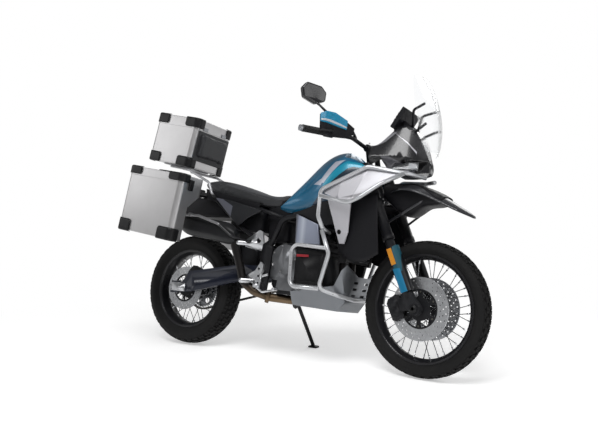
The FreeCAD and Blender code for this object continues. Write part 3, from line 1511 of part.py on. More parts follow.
def case_half(label, base, box, bottom, height, open_up, wedge=None):
    """Thin-walled half of a case with round upright corners, open where the lid meets
    it. A wedge, rows of (y, z), is taken out of the lower inner side first."""
    body = new_body(label, "chassis", base)
    outer = new_sketch(body, "XY_Plane", bottom)
    rounded(outer, *box, "case_corner")
    last = feature(body, "Pad", outer, height)
    if wedge:
        step = new_sketch(body, "YZ_Plane")
        outline(step, wedge)
        last = feature(body, "Pocket", step, "900", middle=True)
    closed = bottom if open_up else bottom + height
    last = soften(body, last, "case_edge", lies_at(Vector(0, 0, 1), closed))
    doc.recompute()
    mouth = bottom + height if open_up else bottom
    names = [f"Face{i}" for i, face in enumerate(last.Shape.Faces, start=1)
             if all(abs(v.Point.z - mouth) < 1e-4 for v in face.Vertexes)]
    made = body.newObject("PartDesign::Thickness", body.Label + "_wall")
    made.Base = (last, names)
    made.Reversed = True
    made.Join = "Arc"
    made.setExpression("Value", linked("case_wall"))
    body.Tip = made


def guard_blocks(label, base, box, spans, corners, wedge=None):
    """Corner guards: the case's outline grown by their thickness, less the case."""
    low_x, high_x, low_y, high_y = box
    proud = S.guard_proud
    solids = []
    for bottom, height in spans:
        shapes = []
        for grow in (proud, 0.02):
            block = Part.makeBox(high_x - low_x + 2 * grow, high_y - low_y + 2 * grow, height,
                                 Vector(low_x - grow, low_y - grow, bottom))
            upright = [edge for edge in block.Edges if straight_along(Vector(0, 0, 1))(edge)]
            shapes.append(block.makeFillet(S.case_corner + grow, upright))
        ring = shapes[0].cut(shapes[1])
        for x_side, y_side, reach_x, reach_y in corners:
            x = high_x + 20 - reach_x - 20 if x_side > 0 else low_x - 20
            y = high_y - reach_y if y_side > 0 else low_y - 20
            solids.append(ring.common(Part.makeBox(reach_x + 20, reach_y + 20, height,
                                                   Vector(x, y, bottom))))
    shaped(label, Part.makeCompound([solid for shape in solids for solid in shape.Solids]), "chassis", base)


# columns: name, low x, high x, low y, high y, floor z, top z, lid height, pitch
CASES = (
    ("right", S.case_rear, S.case_front, -S.case_outer, -S.case_inner, S.case_bottom, S.case_top,
     S.case_lid, S.case_pitch),
    ("left", S.case_rear, S.case_front, S.case_inner, S.case_outer, S.case_bottom, S.case_top,
     S.case_lid, S.case_pitch),
    ("top", S.box_rear, S.box_front, -S.box_half, S.box_half, S.box_bottom, S.box_top,
     S.box_lid, S.box_pitch),
)


def luggage():
    """Three cases with their lids, and the guards round their corners."""
    low_guards = []
    for name, low_x, high_x, low_y, high_y, floor, top, lid, pitch in CASES:
        centre = Vector((low_x + high_x) / 2, (low_y + high_y) / 2, (floor + top) / 2)
        base = Placement(centre, Rotation(Vector(0, 1, 0), pitch))
        box = (low_x - centre.x, high_x - centre.x, low_y - centre.y, high_y - centre.y)
        floor, top = floor - centre.z, top - centre.z
        wedge = None
        if name == "right":
            inner = -centre.y
            wedge = [(-S.case_slim + inner, floor - 10), (-S.case_slim + inner, S.slim_low - centre.z),
                     (-S.case_inner + inner, S.slim_high - centre.z), (-S.case_inner + inner + 20, floor - 10)]
        case_half(name + "_case", base, box, floor, top - lid - S.seam_gap - floor, True, wedge)
        case_half(name + "_case_lid", base, box, top - lid, lid, False)
        if name == "top":
            corners = [(x, y, S.guard_long, S.guard_wide) for x in (-1, 1) for y in (-1, 1)]
            low = (floor + 6, 58)
        else:
            outer = -1 if name == "right" else 1
            corners = [(x, outer, S.guard_long, S.guard_wide) for x in (-1, 1)]
            low = (floor + 6, S.guard_low)
        guard_blocks(name + "_lid_guards", base, box, [(top - lid + 2, lid - 8)], corners)
        guard_blocks(name + "_low_guards", base, box, [low], corners)
        low_guards.append(pieces.pop())
    shapes = []
    for obj, _, base in low_guards:
        shape = obj.Shape.copy()
        shape.Placement = base
        shapes += shape.Solids
        doc.removeObject(obj.Name)
    shaped("case_guards", Part.makeCompound(shapes))


def backrest_pad():
    """Soft pad for the passenger's back on the top case's front face."""
    body = new_body("backrest_pad", "chassis", Placement(
        Vector((S.box_rear + S.box_front) / 2, 0, (S.box_bottom + S.box_top) / 2),
        Rotation(Vector(0, 1, 0), S.box_pitch)))
    half = (S.box_front - S.box_rear) / 2
    tall = (S.box_top - S.box_bottom) / 2
    sketch = new_sketch(body, "YZ_Plane", half)
    rounded(sketch, -128, 128, 66 - tall, tall - S.box_lid - 16, "24")
    pad = feature(body, "Pad", sketch, "28")
    soften(body, pad, "10", lies_at(Vector(1, 0, 0), half + 28))


luggage()
backrest_pad()

# ---------------------------------------------------------------- side stand


def side_stand():
    """Leg that swings on the frame's pin, with a foot that lies flat when parked."""
    hinge = Vector(S.stand_x, S.stand_y, S.stand_z)
    foot = Vector(S.foot_x, S.foot_y, S.foot_z)
    leg = rod(hinge, foot, S.stand_radius)
    axis = STAND_AXIS
    eye = rod(hinge - axis * 14, hinge + axis * 14, 18)
    hole = rod(hinge - axis * 30, hinge + axis * 30, S.stand_pin + 0.1)
    pad = Part.makeBox(60, 44, 8, Vector(-30, -22, -4))
    pad = pad.makeFillet(10, [edge for edge in pad.Edges if straight_along(Vector(0, 0, 1))(edge)])
    pad.Placement = Placement(foot, Rotation(Vector(1, 0, 0), S.lean))
    shaped("side_stand", joined([leg, eye, pad]).cut(hole))


side_stand()

# ---------------------------------------------------------------- finishing and writing

STANCE = Placement(Vector(S.stance_x, S.stance_y, S.stance_z), Rotation(Vector(1, 0, 0), -S.lean))
TURNED = Placement(Vector(0, 0, 0), Rotation(UPWARD, S.steer), AXIS_FOOT)

doc.recompute()
for obj, where, base in pieces:
    turn = TURNED if where == "steering" else Placement()
    obj.Placement = STANCE.multiply(turn).multiply(base)
doc.recompute()

for obj in doc.Objects:
    if "Invalid" in obj.State or "Error" in obj.State:
        raise RuntimeError(f"{obj.Label} failed: {obj.State}")
for obj, _, _ in pieces:
    if obj.Shape.isNull() or not obj.Shape.isValid():
        raise RuntimeError(f"{obj.Label} has no valid shape")

os.makedirs("parts", exist_ok=True)
for obj, _, _ in pieces:
    obj.Shape.exportStep(f"parts/{obj.Label}.step")
    box = obj.Shape.BoundBox
    print(f"{obj.Label:20s} {len(obj.Shape.Solids):3d} solids {obj.Shape.Volume / 1e6:9.3f} litres"
          f"  x {box.XMin:7.0f} {box.XMax:7.0f}  y {box.YMin:6.0f} {box.YMax:6.0f}"
          f"  z {box.ZMin:6.1f} {box.ZMax:6.1f}")
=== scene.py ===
# %% [markdown]
# # Adventure motorcycle
# This scene dresses a motorcycle whose structure was drawn in CAD. The CAD model comes in as
# a fixed frame: every piece below goes where the frame says, in metres, with +X forward,
# +Y to the rider's left and +Z up. The machine leans to its left on its side stand.

import json
import math

import bmesh
import bpy
import numpy as np
from mathutils import Euler, Matrix, Vector


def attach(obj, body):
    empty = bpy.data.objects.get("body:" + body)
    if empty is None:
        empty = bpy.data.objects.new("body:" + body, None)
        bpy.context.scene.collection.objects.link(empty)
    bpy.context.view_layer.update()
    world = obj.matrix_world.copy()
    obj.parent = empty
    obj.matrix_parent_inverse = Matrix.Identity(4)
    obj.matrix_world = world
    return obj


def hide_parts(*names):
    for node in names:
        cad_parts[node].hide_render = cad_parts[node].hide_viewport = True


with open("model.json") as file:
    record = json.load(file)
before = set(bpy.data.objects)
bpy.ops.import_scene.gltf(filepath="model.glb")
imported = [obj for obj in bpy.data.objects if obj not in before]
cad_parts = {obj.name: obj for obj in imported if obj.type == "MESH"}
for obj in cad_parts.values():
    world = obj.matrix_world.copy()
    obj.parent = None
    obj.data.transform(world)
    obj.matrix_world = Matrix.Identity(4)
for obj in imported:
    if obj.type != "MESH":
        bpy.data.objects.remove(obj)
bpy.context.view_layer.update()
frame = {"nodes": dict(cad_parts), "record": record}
record = frame["record"]
joints = {joint["name"]: joint for joint in record["behaviour"]["joints"]}
body_named = {node: body for body, nodes in record["behaviour"]["bodies"].items() for node in nodes}
print("pieces in the frame:", len(frame["nodes"]))

# %% [markdown]
# ## The upright machine
# A leaning motorcycle is hard to think about, so every new piece is worked out on an upright
# one whose rear axle stands over the origin. Two maps then lean it over. The first one is
# for the chassis. The second turns the front end about the steering axis first. Both are
# read from the joints: the rear axle's direction gives the lean, and the front axle's
# direction gives the turn of the steering.

# %% Maps from the upright machine to the parked one
CASTER = math.radians(24.8)
STEER_FOOT = np.array([1.640, 0.0, 0.0])
STEER_UP = np.array([-math.sin(CASTER), 0.0, math.cos(CASTER)])
STEER_AHEAD = np.array([math.cos(CASTER), 0.0, math.sin(CASTER)])
REAR_HUB = np.array([0.0, 0.0, 0.3336])
FRONT_HUB = np.array([1.530, 0.0, 0.3477])

rear_axis = np.array(joints["rear_wheel_spin"]["axis"])
LEAN = math.atan2(-rear_axis[2], rear_axis[1])
lean_turn = np.array(Matrix.Rotation(-LEAN, 3, "X"))
stance = np.array(joints["rear_wheel_spin"]["pos_m"]) - lean_turn @ REAR_HUB
front_axis = lean_turn.T @ np.array(joints["front_wheel_spin"]["axis"])
STEER = math.atan2(float(front_axis @ -STEER_AHEAD), float(front_axis[1]))
steer_turn = np.array(Matrix.Rotation(STEER, 3, Vector(STEER_UP)))


def on_chassis(points):
    """Upright points to the parked machine: p -> L p + s, L the lean and s the stance."""
    return np.asarray(points, float) @ lean_turn.T + stance


def on_steering(points):
    """As on_chassis, after a turn T about the steering axis: p -> L (T (p - f) + f) + s."""
    turned = (np.asarray(points, float) - STEER_FOOT) @ steer_turn.T + STEER_FOOT
    return on_chassis(turned)


def by_fork(along, ahead, side):
    """Upright point given along the steering axis, ahead of it and to its left, in metres."""
    return STEER_FOOT + STEER_UP * along + STEER_AHEAD * ahead + np.array([0.0, side, 0.0])


PLACES = {"chassis": on_chassis, "steering": on_steering, "front_wheel": on_steering}


def place_for(body):
    """The map for pieces that ride on that body."""
    return PLACES.get(body, on_chassis)


print("lean %.2f degrees, steering turned %.2f degrees" % (math.degrees(LEAN), math.degrees(STEER)))

# %% [markdown]
# ## Finishes
# Every finish is a small network of nodes that reads Object coordinates. As each object sits
# at the origin, those are metres on the machine, so a grain can be given its true size. One
# helper makes the common network: a slow noise shifts the colour, a fine noise makes the
# grain as a bump, and a third one lets the roughness wander, as handling and dust do.

# %% The common network of a finish
finishes = {}


def nodes_of(name):
    """A fresh material's tree, its shader and its Object coordinates."""
    material = bpy.data.materials.new(name)
    material.use_nodes = True
    tree = material.node_tree
    shader = tree.nodes["Principled BSDF"]
    where = tree.nodes.new("ShaderNodeTexCoord").outputs["Object"]
    finishes[name] = material
    return tree, shader, where


def feed(tree, entry, socket):
    """Links a socket to the input, or sets it to a number or a colour."""
    if isinstance(entry, bpy.types.NodeSocket):
        tree.links.new(entry, socket)
    elif socket.type == "RGBA" and len(entry) == 3:
        socket.default_value = (*entry, 1.0)
    else:
        socket.default_value = entry


def give(tree, node, values):
    """Feeds each value to the node's input of that name."""
    for key, entry in values.items():
        feed(tree, entry, node.inputs[key])
    return node


def add(tree, kind, **values):
    """A node of that kind, with each value fed to the input of that name."""
    return give(tree, tree.nodes.new("ShaderNode" + kind), values)


def in_order(tree, kind, *inputs):
    """A node of that kind, with the values fed to its inputs in their order."""
    node = tree.nodes.new("ShaderNode" + kind)
    for socket, entry in zip(node.inputs, inputs):
        feed(tree, entry, socket)
    return node


def noise(tree, where, scale, stretch=(1, 1, 1), detail=4.0, rough=0.5):
    """Noise from 0 to 1 at that scale, stretched along the axes."""
    mapped = add(tree, "Mapping", Vector=where, Scale=stretch).outputs["Vector"]
    return add(tree, "TexNoise", Vector=mapped, Scale=scale, Detail=detail, Roughness=rough).outputs["Fac"]


def math_of(tree, operation, *inputs, clamp=False):
    """A sum, product, power or least of its inputs."""
    node = in_order(tree, "Math", *inputs)
    node.operation = operation
    node.use_clamp = clamp
    return node.outputs[0]


def mixed(tree, share, first, second):
    """Colour between two, by a share from 0 to 1."""
    node = tree.nodes.new("ShaderNodeMix")
    node.data_type = "RGBA"
    for number, entry in ((0, share), (6, first), (7, second)):
        feed(tree, entry, node.inputs[number])
    return node.outputs[2]


def shade(colour, factor):
    """A lighter or darker colour."""
    return tuple(min(1.0, channel * factor) for channel in colour)


def span(tree, source, low, high):
    """A share from 0 to 1 stretched to run from low to high."""
    return add(tree, "MapRange", **{"Value": source, "To Min": low, "To Max": high}).outputs["Result"]


def bump(tree, height, strength, distance):
    """Normal of a surface that a grain raises, by that distance in metres at most."""
    return add(tree, "Bump", Strength=strength, Distance=distance, Height=height).outputs["Normal"]


def finish(name, colour, rough, metal=0.0, vary=0.12, patch=9.0, grain=900.0, depth=0.03,
           stretch=(1, 1, 1), rough_vary=0.08, coat=0.0, specular=0.5):
    """A finish with a slow colour drift, a fine grain and a wandering roughness."""
    tree, shader, where = nodes_of(name)
    drift = noise(tree, where, patch, detail=5.0)
    fine = noise(tree, where, grain, stretch, detail=3.0)
    wander = noise(tree, where, 26.0, detail=6.0)
    give(tree, shader, {
        "Base Color": mixed(tree, drift, shade(colour, 1 - vary), shade(colour, 1 + vary)),
        "Roughness": span(tree, wander, rough - rough_vary, rough + rough_vary),
        "Normal": bump(tree, fine, depth * 10, 0.0004), "Metallic": metal,
        "Coat Weight": coat, "Coat Roughness": 0.08, "Specular IOR Level": specular})


# %% [markdown]
# ## The plain finishes
# A motorcycle has a handful of surfaces that return everywhere: powder-coated tube, cast and
# machined alloy, moulded plastic with a leather-like grain, gloss lacquer, rubber and bright
# steel. They are kept in one table, so that two pieces of the same stuff always match.

# %% Table of plain finishes
# name: colour, roughness, metal, then what differs from the common network
PLAIN = {
    "powder_black": ((0.008, 0.008, 0.010), 0.42, 0.0, dict(grain=1400.0, depth=0.05, specular=0.28)),
    "cast_black": ((0.015, 0.0155, 0.018), 0.55, 0.2,
                   dict(grain=700.0, depth=0.12, vary=0.25, specular=0.28)),
    "cover_alloy": ((0.17, 0.175, 0.185), 0.42, 0.65, dict(grain=800.0, depth=0.06, vary=0.15)),
    "bright_alloy": ((0.62, 0.63, 0.65), 0.32, 0.9, dict(grain=1200.0, depth=0.03)),
    "dull_alloy": ((0.34, 0.35, 0.37), 0.42, 0.8, dict(grain=1100.0, depth=0.04)),
    "spoke_steel": ((0.72, 0.73, 0.75), 0.22, 1.0, dict(grain=1500.0, depth=0.01)),
    "disc_steel": ((0.55, 0.56, 0.58), 0.3, 1.0, dict(grain=1500.0, depth=0.03, vary=0.2, patch=30.0)),
    "rim_black": ((0.010, 0.010, 0.012), 0.3, 0.0, dict(coat=0.3, depth=0.02, specular=0.3)),
    "moulded_black": ((0.007, 0.007, 0.009), 0.5, 0.0, dict(grain=520.0, depth=0.12, specular=0.22)),
    "moulded_grey": ((0.020, 0.021, 0.024), 0.36, 0.0, dict(grain=900.0, depth=0.02)),
    "corner_plastic": ((0.007, 0.007, 0.008), 0.38, 0.0, dict(grain=700.0, depth=0.06, specular=0.28)),
    "mirror_black": ((0.012, 0.012, 0.014), 0.24, 0.0, dict(coat=0.3, depth=0.0, vary=0.2)),
    "bag_black": ((0.006, 0.006, 0.007), 0.46, 0.0, dict(depth=0.0, vary=0.3, specular=0.25)),
    "bag_red": ((0.30, 0.012, 0.020), 0.4, 0.0, dict(depth=0.02)),
    "beak_grey": ((0.030, 0.031, 0.036), 0.30, 0.1, dict(coat=0.4, depth=0.03)),
    "shield_blue": ((0.003, 0.26, 0.46), 0.28, 0.0, dict(coat=0.4, depth=0.01)),
    "panel_silver": ((0.42, 0.44, 0.50), 0.33, 0.35, dict(coat=0.4, depth=0.02)),
    "bar_silver": ((0.56, 0.57, 0.59), 0.3, 0.55, dict(coat=0.3, depth=0.03)),
    "arm_navy": ((0.010, 0.013, 0.026), 0.36, 0.1, dict(coat=0.2, depth=0.04)),
    "skid_alloy": ((0.20, 0.21, 0.225), 0.38, 0.8, dict(grain=300.0, depth=0.05, stretch=(1, 14, 1))),
    "can_black": ((0.013, 0.0135, 0.015), 0.40, 0.1, dict(grain=900.0, depth=0.04, specular=0.3)),
    "core_black": ((0.008, 0.008, 0.009), 0.5, 0.3, dict(grain=900.0, depth=0.05)),
    "grip_rubber": ((0.008, 0.008, 0.008), 0.62, 0.0, dict(grain=900.0, depth=0.1)),
    "chain_steel": ((0.14, 0.135, 0.12), 0.4, 0.85, dict(vary=0.35, patch=60.0)),
    "bolt_steel": ((0.5, 0.5, 0.51), 0.3, 0.95, dict(depth=0.02)),
    "pale_stripe": ((0.62, 0.64, 0.68), 0.3, 0.0, dict(coat=0.4, depth=0.0)),
}
for name, (colour, rough, metal, rest) in PLAIN.items():
    finish(name, colour, rough, metal, **rest)
print("plain finishes:", len(PLAIN))

# %% [markdown]
# ## Finishes with a pattern
# Some finishes need their own network. The cases are aluminium sheet brushed in one direction,
# which is a noise stretched a hundred times along the brushing. Tyre rubber is dusty in patches.
# The exhaust pipe has been hot: it is brown below the engine and darker where it climbs.

# %% Brushed sheet, rubber, hot steel, glass and lenses
tree, shader, where = nodes_of("case_sheet")
upright = add(tree, "Mapping", Vector=where, Rotation=(LEAN, 0, 0)).outputs["Vector"]
lines = noise(tree, upright, 60.0, (0.6, 0.6, 26.0), detail=8.0, rough=0.7)
clouds = noise(tree, where, 7.0, detail=4.0)
sheet_tone = mixed(tree, clouds, (0.40, 0.395, 0.40), (0.56, 0.555, 0.56))
sheet_tone = mixed(tree, math_of(tree, "MULTIPLY", lines, 0.5), sheet_tone, (0.66, 0.655, 0.66))
give(tree, shader, {"Base Color": sheet_tone, "Roughness": span(tree, lines, 0.28, 0.46),
                    "Normal": bump(tree, lines, 0.25, 0.0003), "Metallic": 0.85})

tree, shader, where = nodes_of("tyre_rubber")
smear = noise(tree, where, 22.0, detail=8.0, rough=0.65)
rubber = mixed(tree, math_of(tree, "POWER", smear, 2.2), (0.005, 0.005, 0.0055), (0.022, 0.021, 0.020))
grit = noise(tree, where, 420.0, detail=6.0)
give(tree, shader, {"Base Color": rubber, "Roughness": span(tree, smear, 0.62, 0.86),
                    "Normal": bump(tree, grit, 0.5, 0.0006), "Specular IOR Level": 0.25})

BROWN_BELOW, DARK_ABOVE = 0.33, 0.42      # heights on the exhaust pipe, in metres
tree, shader, where = nodes_of("hot_steel")
height = add(tree, "SeparateXYZ", Vector=where).outputs["Z"]
tint = add(tree, "MapRange", **{"Value": height, "From Min": BROWN_BELOW, "From Max": DARK_ABOVE})
blotch = noise(tree, where, 14.0, detail=7.0)
tone = mixed(tree, blotch, (0.10, 0.070, 0.042), (0.22, 0.155, 0.095))
tone = mixed(tree, tint.outputs["Result"], tone, (0.030, 0.028, 0.028))
give(tree, shader, {"Base Color": tone, "Roughness": span(tree, blotch, 0.26, 0.48), "Metallic": 0.95})


def clear(name, colour, rough, through, bending=1.45, alpha=1.0):
    """A see-through finish: light passes through it in that share, bent by that index."""
    tree, shader, where = nodes_of(name)
    wipe = noise(tree, where, 30.0, detail=6.0)
    give(tree, shader, {"Base Color": mixed(tree, wipe, shade(colour, 0.94), colour),
                        "Roughness": span(tree, wipe, rough, rough + 0.04),
                        "Transmission Weight": through, "IOR": bending, "Alpha": alpha})


clear("screen_clear", (0.93, 0.95, 0.97), 0.02, 0.95, bending=1.08, alpha=0.32)
clear("lens_clear", (0.88, 0.9, 0.93), 0.04, 0.55)
clear("lens_amber", (0.85, 0.34, 0.03), 0.12, 0.2)
clear("lens_red", (0.5, 0.01, 0.012), 0.14, 0.25)
finish("mirror_glass", (0.8, 0.82, 0.84), 0.06, 1.0, vary=0.02, depth=0.0, rough_vary=0.02)
finish("display_glass", (0.012, 0.014, 0.018), 0.1, 0.0, vary=0.1, depth=0.0, rough_vary=0.03, coat=0.8)
print("finishes so far:", len(finishes))

# %% [markdown]
# ## Painted shapes on the tank and panels
# The tank is one colour with a pale streak, a brighter blue band and a dark vent beside the
# fork. Such shapes are straight-edged, so each is a polygon seen from the side. A point is
# inside a convex polygon when it is on the inner side of every edge, so the network takes
# the smallest of those distances and turns it into a crisp but soft-edged share.

# %% Polygons as masks
def upright_place(tree, where):
    """Object coordinates turned back to the upright machine."""
    shift = -(lean_turn.T @ stance)
    return add(tree, "Mapping", Vector=where, Location=tuple(shift), Rotation=(LEAN, 0, 0)).outputs["Vector"]


def inside(tree, place, corners, soft=0.0012):
    """Share from 0 to 1 inside a convex polygon of (x, z) corners in metres."""
    spots = np.array(corners, float)
    centre = spots.mean(axis=0)
    least = None
    for here, there in zip(spots, np.roll(spots, -1, axis=0)):
        along = (there - here) / np.linalg.norm(there - here)
        inward = np.array([-along[1], along[0]])
        if inward @ (centre - here) < 0:
            inward = -inward
        dot = in_order(tree, "VectorMath", place, (inward[0], 0.0, inward[1]))
        dot.operation = "DOT_PRODUCT"
        far = math_of(tree, "SUBTRACT", dot.outputs["Value"], float(inward @ here))
        least = far if least is None else math_of(tree, "MINIMUM", least, far)
    return math_of(tree, "MULTIPLY", math_of(tree, "ADD", least, soft / 2), 1 / soft, clamp=True)


def painted(name, ground, shapes, rough=0.24, metal=0.25, coat=0.7):
    """Lacquer with painted polygons over its ground colour; a third entry softens the edge."""
    tree, shader, where = nodes_of(name)
    place = upright_place(tree, where)
    drift = noise(tree, where, 6.0, detail=3.0)
    base = mixed(tree, drift, shade(ground, 0.88), shade(ground, 1.12))
    for colour, corners, *soft in shapes:
        base = mixed(tree, inside(tree, place, corners, *soft), base, colour)
    flakes = noise(tree, where, 2600.0, detail=1.0)
    base = mixed(tree, math_of(tree, "MULTIPLY", flakes, 0.12), base, shade(ground, 2.2))
    wander = span(tree, noise(tree, where, 18.0), rough - 0.05, rough + 0.05)
    give(tree, shader, {"Base Color": base, "Roughness": wander, "Metallic": metal,
                        "Coat Weight": coat, "Coat Roughness": 0.06})


# %% [markdown]
# ## Painted finishes
# Each row is a colour and the polygon it fills, in metres seen from the right. Later rows
# lie over earlier ones, so the tank's dark streak comes first and its bright band later.

# %% Lacquers of the tank, the panels, the tail and the nose
TEAL = (0.003, 0.120, 0.235)
CYAN = (0.004, 0.285, 0.420)
LILAC = (0.50, 0.51, 0.58)
VENT = (0.006, 0.006, 0.008)
SILVER = (0.50, 0.495, 0.53)
painted("tank_teal", TEAL, [
    ((0.020, 0.030, 0.055), [(0.700, 0.770), (0.980, 0.930), (1.00, 0.900), (0.98, 0.80), (0.70, 0.74)]),
    (TEAL, [(0.640, 0.80), (0.780, 0.800), (0.880, 0.845), (0.965, 0.915), (0.905, 0.965), (0.66, 0.85)]),
    (LILAC, [(0.896, 0.960), (0.955, 0.951), (0.985, 0.998), (0.945, 0.984)]),
    (LILAC, [(0.945, 0.972), (0.975, 0.962), (1.085, 1.093), (1.027, 1.083)]),
    (CYAN, [(0.960, 0.918), (0.978, 0.962), (1.040, 1.036), (1.100, 1.084), (1.226, 1.066), (1.226, 1.040)]),
    (VENT, [(0.975, 0.905), (0.982, 0.932), (1.027, 0.970), (1.104, 1.040), (1.140, 1.052), (1.221, 1.044),
            (1.221, 0.98)]),
], rough=0.3, metal=0.1, coat=0.4)
painted("panel_lilac", (0.10, 0.105, 0.13), [
    # the lighter field and the bright upright strip in it are a painted highlight with its fall-off
    ((0.30, 0.33, 0.42), [(0.84, 0.60), (0.99, 0.60), (0.99, 0.80), (0.84, 0.80)], 0.012),
    ((0.52, 0.56, 0.64), [(0.862, 0.58), (0.885, 0.58), (0.885, 0.84), (0.862, 0.84)], 0.024),
], rough=0.36, metal=0.2, coat=0.2)
painted("shroud_silver", SILVER, [
    # the thin dark strip is a painted shadow in the gap between the panel and its frame
    (shade(SILVER, 0.42), [(1.044, 0.868), (1.124, 0.872), (1.275, 0.912), (1.275, 0.900), (1.124, 0.858),
                           (1.044, 0.856)]),
], rough=0.42, metal=0.25, coat=0.2)
painted("tail_two_tone", (0.016, 0.017, 0.020), [
    ((0.13, 0.135, 0.165), [(0.147, 0.940), (0.349, 0.835), (0.335, 0.715), (0.235, 0.780)]),
], rough=0.4, metal=0.2, coat=0.2)
painted("rack_two_tone", (0.012, 0.012, 0.014), [
    ((0.42, 0.42, 0.44), [(-0.40, 1.15), (0.30, 1.15), (0.30, 0.905), (-0.40, 0.905)]),
    ((0.24, 0.24, 0.25), [(-0.10, 0.785), (0.20, 0.775), (0.20, 0.742), (-0.10, 0.748)]),
    ((0.24, 0.24, 0.25), [(0.20, 0.775), (0.36, 0.732), (0.35, 0.700), (0.20, 0.742)]),
], rough=0.34, metal=0.4, coat=0.2)
painted("nose_black", (0.010, 0.010, 0.012), [
    ((0.24, 0.24, 0.26), [(1.141, 1.165), (1.167, 1.210), (1.293, 1.246), (1.334, 1.256), (1.283, 1.196),
                          (1.215, 1.156)]),
    ((0.11, 0.11, 0.125), [(1.284, 1.108), (1.346, 1.113), (1.405, 1.072), (1.461, 1.046), (1.300, 1.036)]),
    ((0.50, 0.50, 0.54), [(1.316, 1.254), (1.326, 1.246), (1.400, 1.188), (1.394, 1.200)]),
    ((0.50, 0.50, 0.54), [(1.393, 1.201), (1.399, 1.189), (1.448, 1.134), (1.446, 1.148)]),
], rough=0.28, metal=0.1, coat=0.5)
painted("fork_guard_blue", (0.007, 0.008, 0.010), [
    ((0.006, 0.085, 0.125), [(1.376, 0.668), (1.404, 0.668), (1.446, 0.525), (1.405, 0.515)]),
    ((0.002, 0.190, 0.370), [(1.340, 0.515), (1.432, 0.538), (1.502, 0.389), (1.41, 0.370)]),
], rough=0.3, metal=0.1, coat=0.4)
print("painted finishes ready")

# %% [markdown]
# ## Smooth skins for the CAD pieces
# The frame's meshes are loose triangles, so a tube would show its facets. A copy is merged
# at its seams and shaded smooth, except across edges that turn by more than thirty degrees.
# The copy stands for its CAD node and rides on the same body.

# %% One skin for each CAD piece, with its finish
SEAM = 2e-5           # metres: points closer than this are one point
SHARP = 32            # degrees between two faces of a sharp edge


def merged(node, name):
    """Copy of a CAD node as a new object, its triangles joined at their seams."""
    mesh = frame["nodes"][node].data.copy()
    mesh.name = name
    work = bmesh.new()
    work.from_mesh(mesh)
    bmesh.ops.remove_doubles(work, verts=work.verts, dist=SEAM)
    work.to_mesh(mesh)
    work.free()
    piece = bpy.data.objects.new(name, mesh)
    bpy.context.scene.collection.objects.link(piece)
    return piece


def skin(node, material):
    """Merged, smooth-shaded copy of a CAD node, in place of it."""
    piece = merged(node, node + "_skin")
    piece.data.shade_smooth()
    piece.data.set_sharp_from_angle(angle=math.radians(SHARP))
    piece.data.materials.clear()
    piece.data.materials.append(finishes[material])
    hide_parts(node)
    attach(piece, body_named[node])
    return piece


SKINS = {
    "front_rim": "rim_black", "rear_rim": "rim_black", "front_hub": "cast_black", "rear_hub": "cast_black",
    "front_spokes": "spoke_steel", "rear_spokes": "spoke_steel",
    "front_brake_discs": "disc_steel", "rear_brake_disc": "disc_steel", "rear_sprocket": "dull_alloy",
    "fork_uppers": "powder_black", "fork_sliders": "cast_black", "fork_guards": "fork_guard_blue",
    "front_axle": "can_black", "front_calipers": "cast_black", "handlebar": "powder_black",
    "hand_controls": "grip_rubber", "handguards": "moulded_black", "handguard_shields": "shield_blue",
    "mirrors": "mirror_black", "high_fender": "beak_grey", "main_frame": "powder_black",
    "swingarm": "arm_navy", "rear_axle": "bright_alloy", "rear_caliper": "cast_black",
    "rear_shock": "can_black", "engine": "cast_black", "engine_covers": "cover_alloy",
    "exhaust_header": "hot_steel", "muffler": "can_black", "radiator": "core_black",
    "fuel_tank": "tank_teal", "tail_panels": "tail_two_tone", "engine_side_panels": "panel_lilac",
    "side_fairings": "shroud_silver", "nose_fairing": "nose_black", "windscreen": "screen_clear",
    "cockpit": "moulded_black", "crash_bars": "bar_silver", "side_bags": "bag_black",
    "skid_plate": "skid_alloy", "footpegs": "bright_alloy", "luggage_racks": "rack_two_tone",
    "rear_mudguard": "moulded_black", "right_case": "case_sheet", "left_case": "case_sheet",
    "top_case": "case_sheet", "right_case_lid": "case_sheet", "left_case_lid": "case_sheet",
    "top_case_lid": "case_sheet", "side_stand": "powder_black", "lamp_lenses": "lens_clear",
}
skins = {node: skin(node, name) for node, name in SKINS.items() if node in frame["nodes"]}
print("skins:", len(skins), "left plain:", sorted(set(frame["nodes"]) - set(skins)))

# %% [markdown]
# ## Surfaces from numbers
# The new pieces are grids of points. A grid can be a profile turned about an axis, a ring
# carried along a path, or a patch between two edges. `surface` makes the mesh from the grid
# and joins the first and last rows where the form closes on itself.

# %% Grids to meshes
SIDES = ((-1, "right"), (1, "left"))


def mesh_piece(name, points, faces, material, body="chassis", angle=35):
    """Piece from an array of upright points and a list of faces."""
    mesh = bpy.data.meshes.new(name)
    points = place_for(body)(np.asarray(points, float).reshape(-1, 3))
    mesh.from_pydata(points.tolist(), [], [list(map(int, face)) for face in faces])
    mesh.update()
    mesh.shade_smooth()
    mesh.set_sharp_from_angle(angle=math.radians(angle))
    mesh.materials.append(finishes[material])
    piece = bpy.data.objects.new(name, mesh)
    bpy.context.scene.collection.objects.link(piece)
    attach(piece, body)
    return piece


def grid_faces(rows, columns, wrap_rows=False, wrap_columns=False):
    """Quads of a grid whose point (i, j) has the number i * columns + j."""
    i = np.arange(rows if wrap_rows else rows - 1)[:, None]
    j = np.arange(columns if wrap_columns else columns - 1)[None, :]
    after_i, after_j = (i + 1) % rows, (j + 1) % columns
    quads = np.stack(np.broadcast_arrays(i * columns + j, after_i * columns + j,
                                         after_i * columns + after_j, i * columns + after_j), axis=-1)
    return quads.reshape(-1, 4)


def outward(piece):
    """Turns every face of a closed piece outward."""
    work = bmesh.new()
    work.from_mesh(piece.data)
    bmesh.ops.recalc_face_normals(work, faces=work.faces)
    work.to_mesh(piece.data)
    work.free()
    return piece


def ends(rows, columns):
    """The two faces that close the first and the last ring of a grid."""
    return [list(range(columns))[::-1], [(rows - 1) * columns + j for j in range(columns)]]


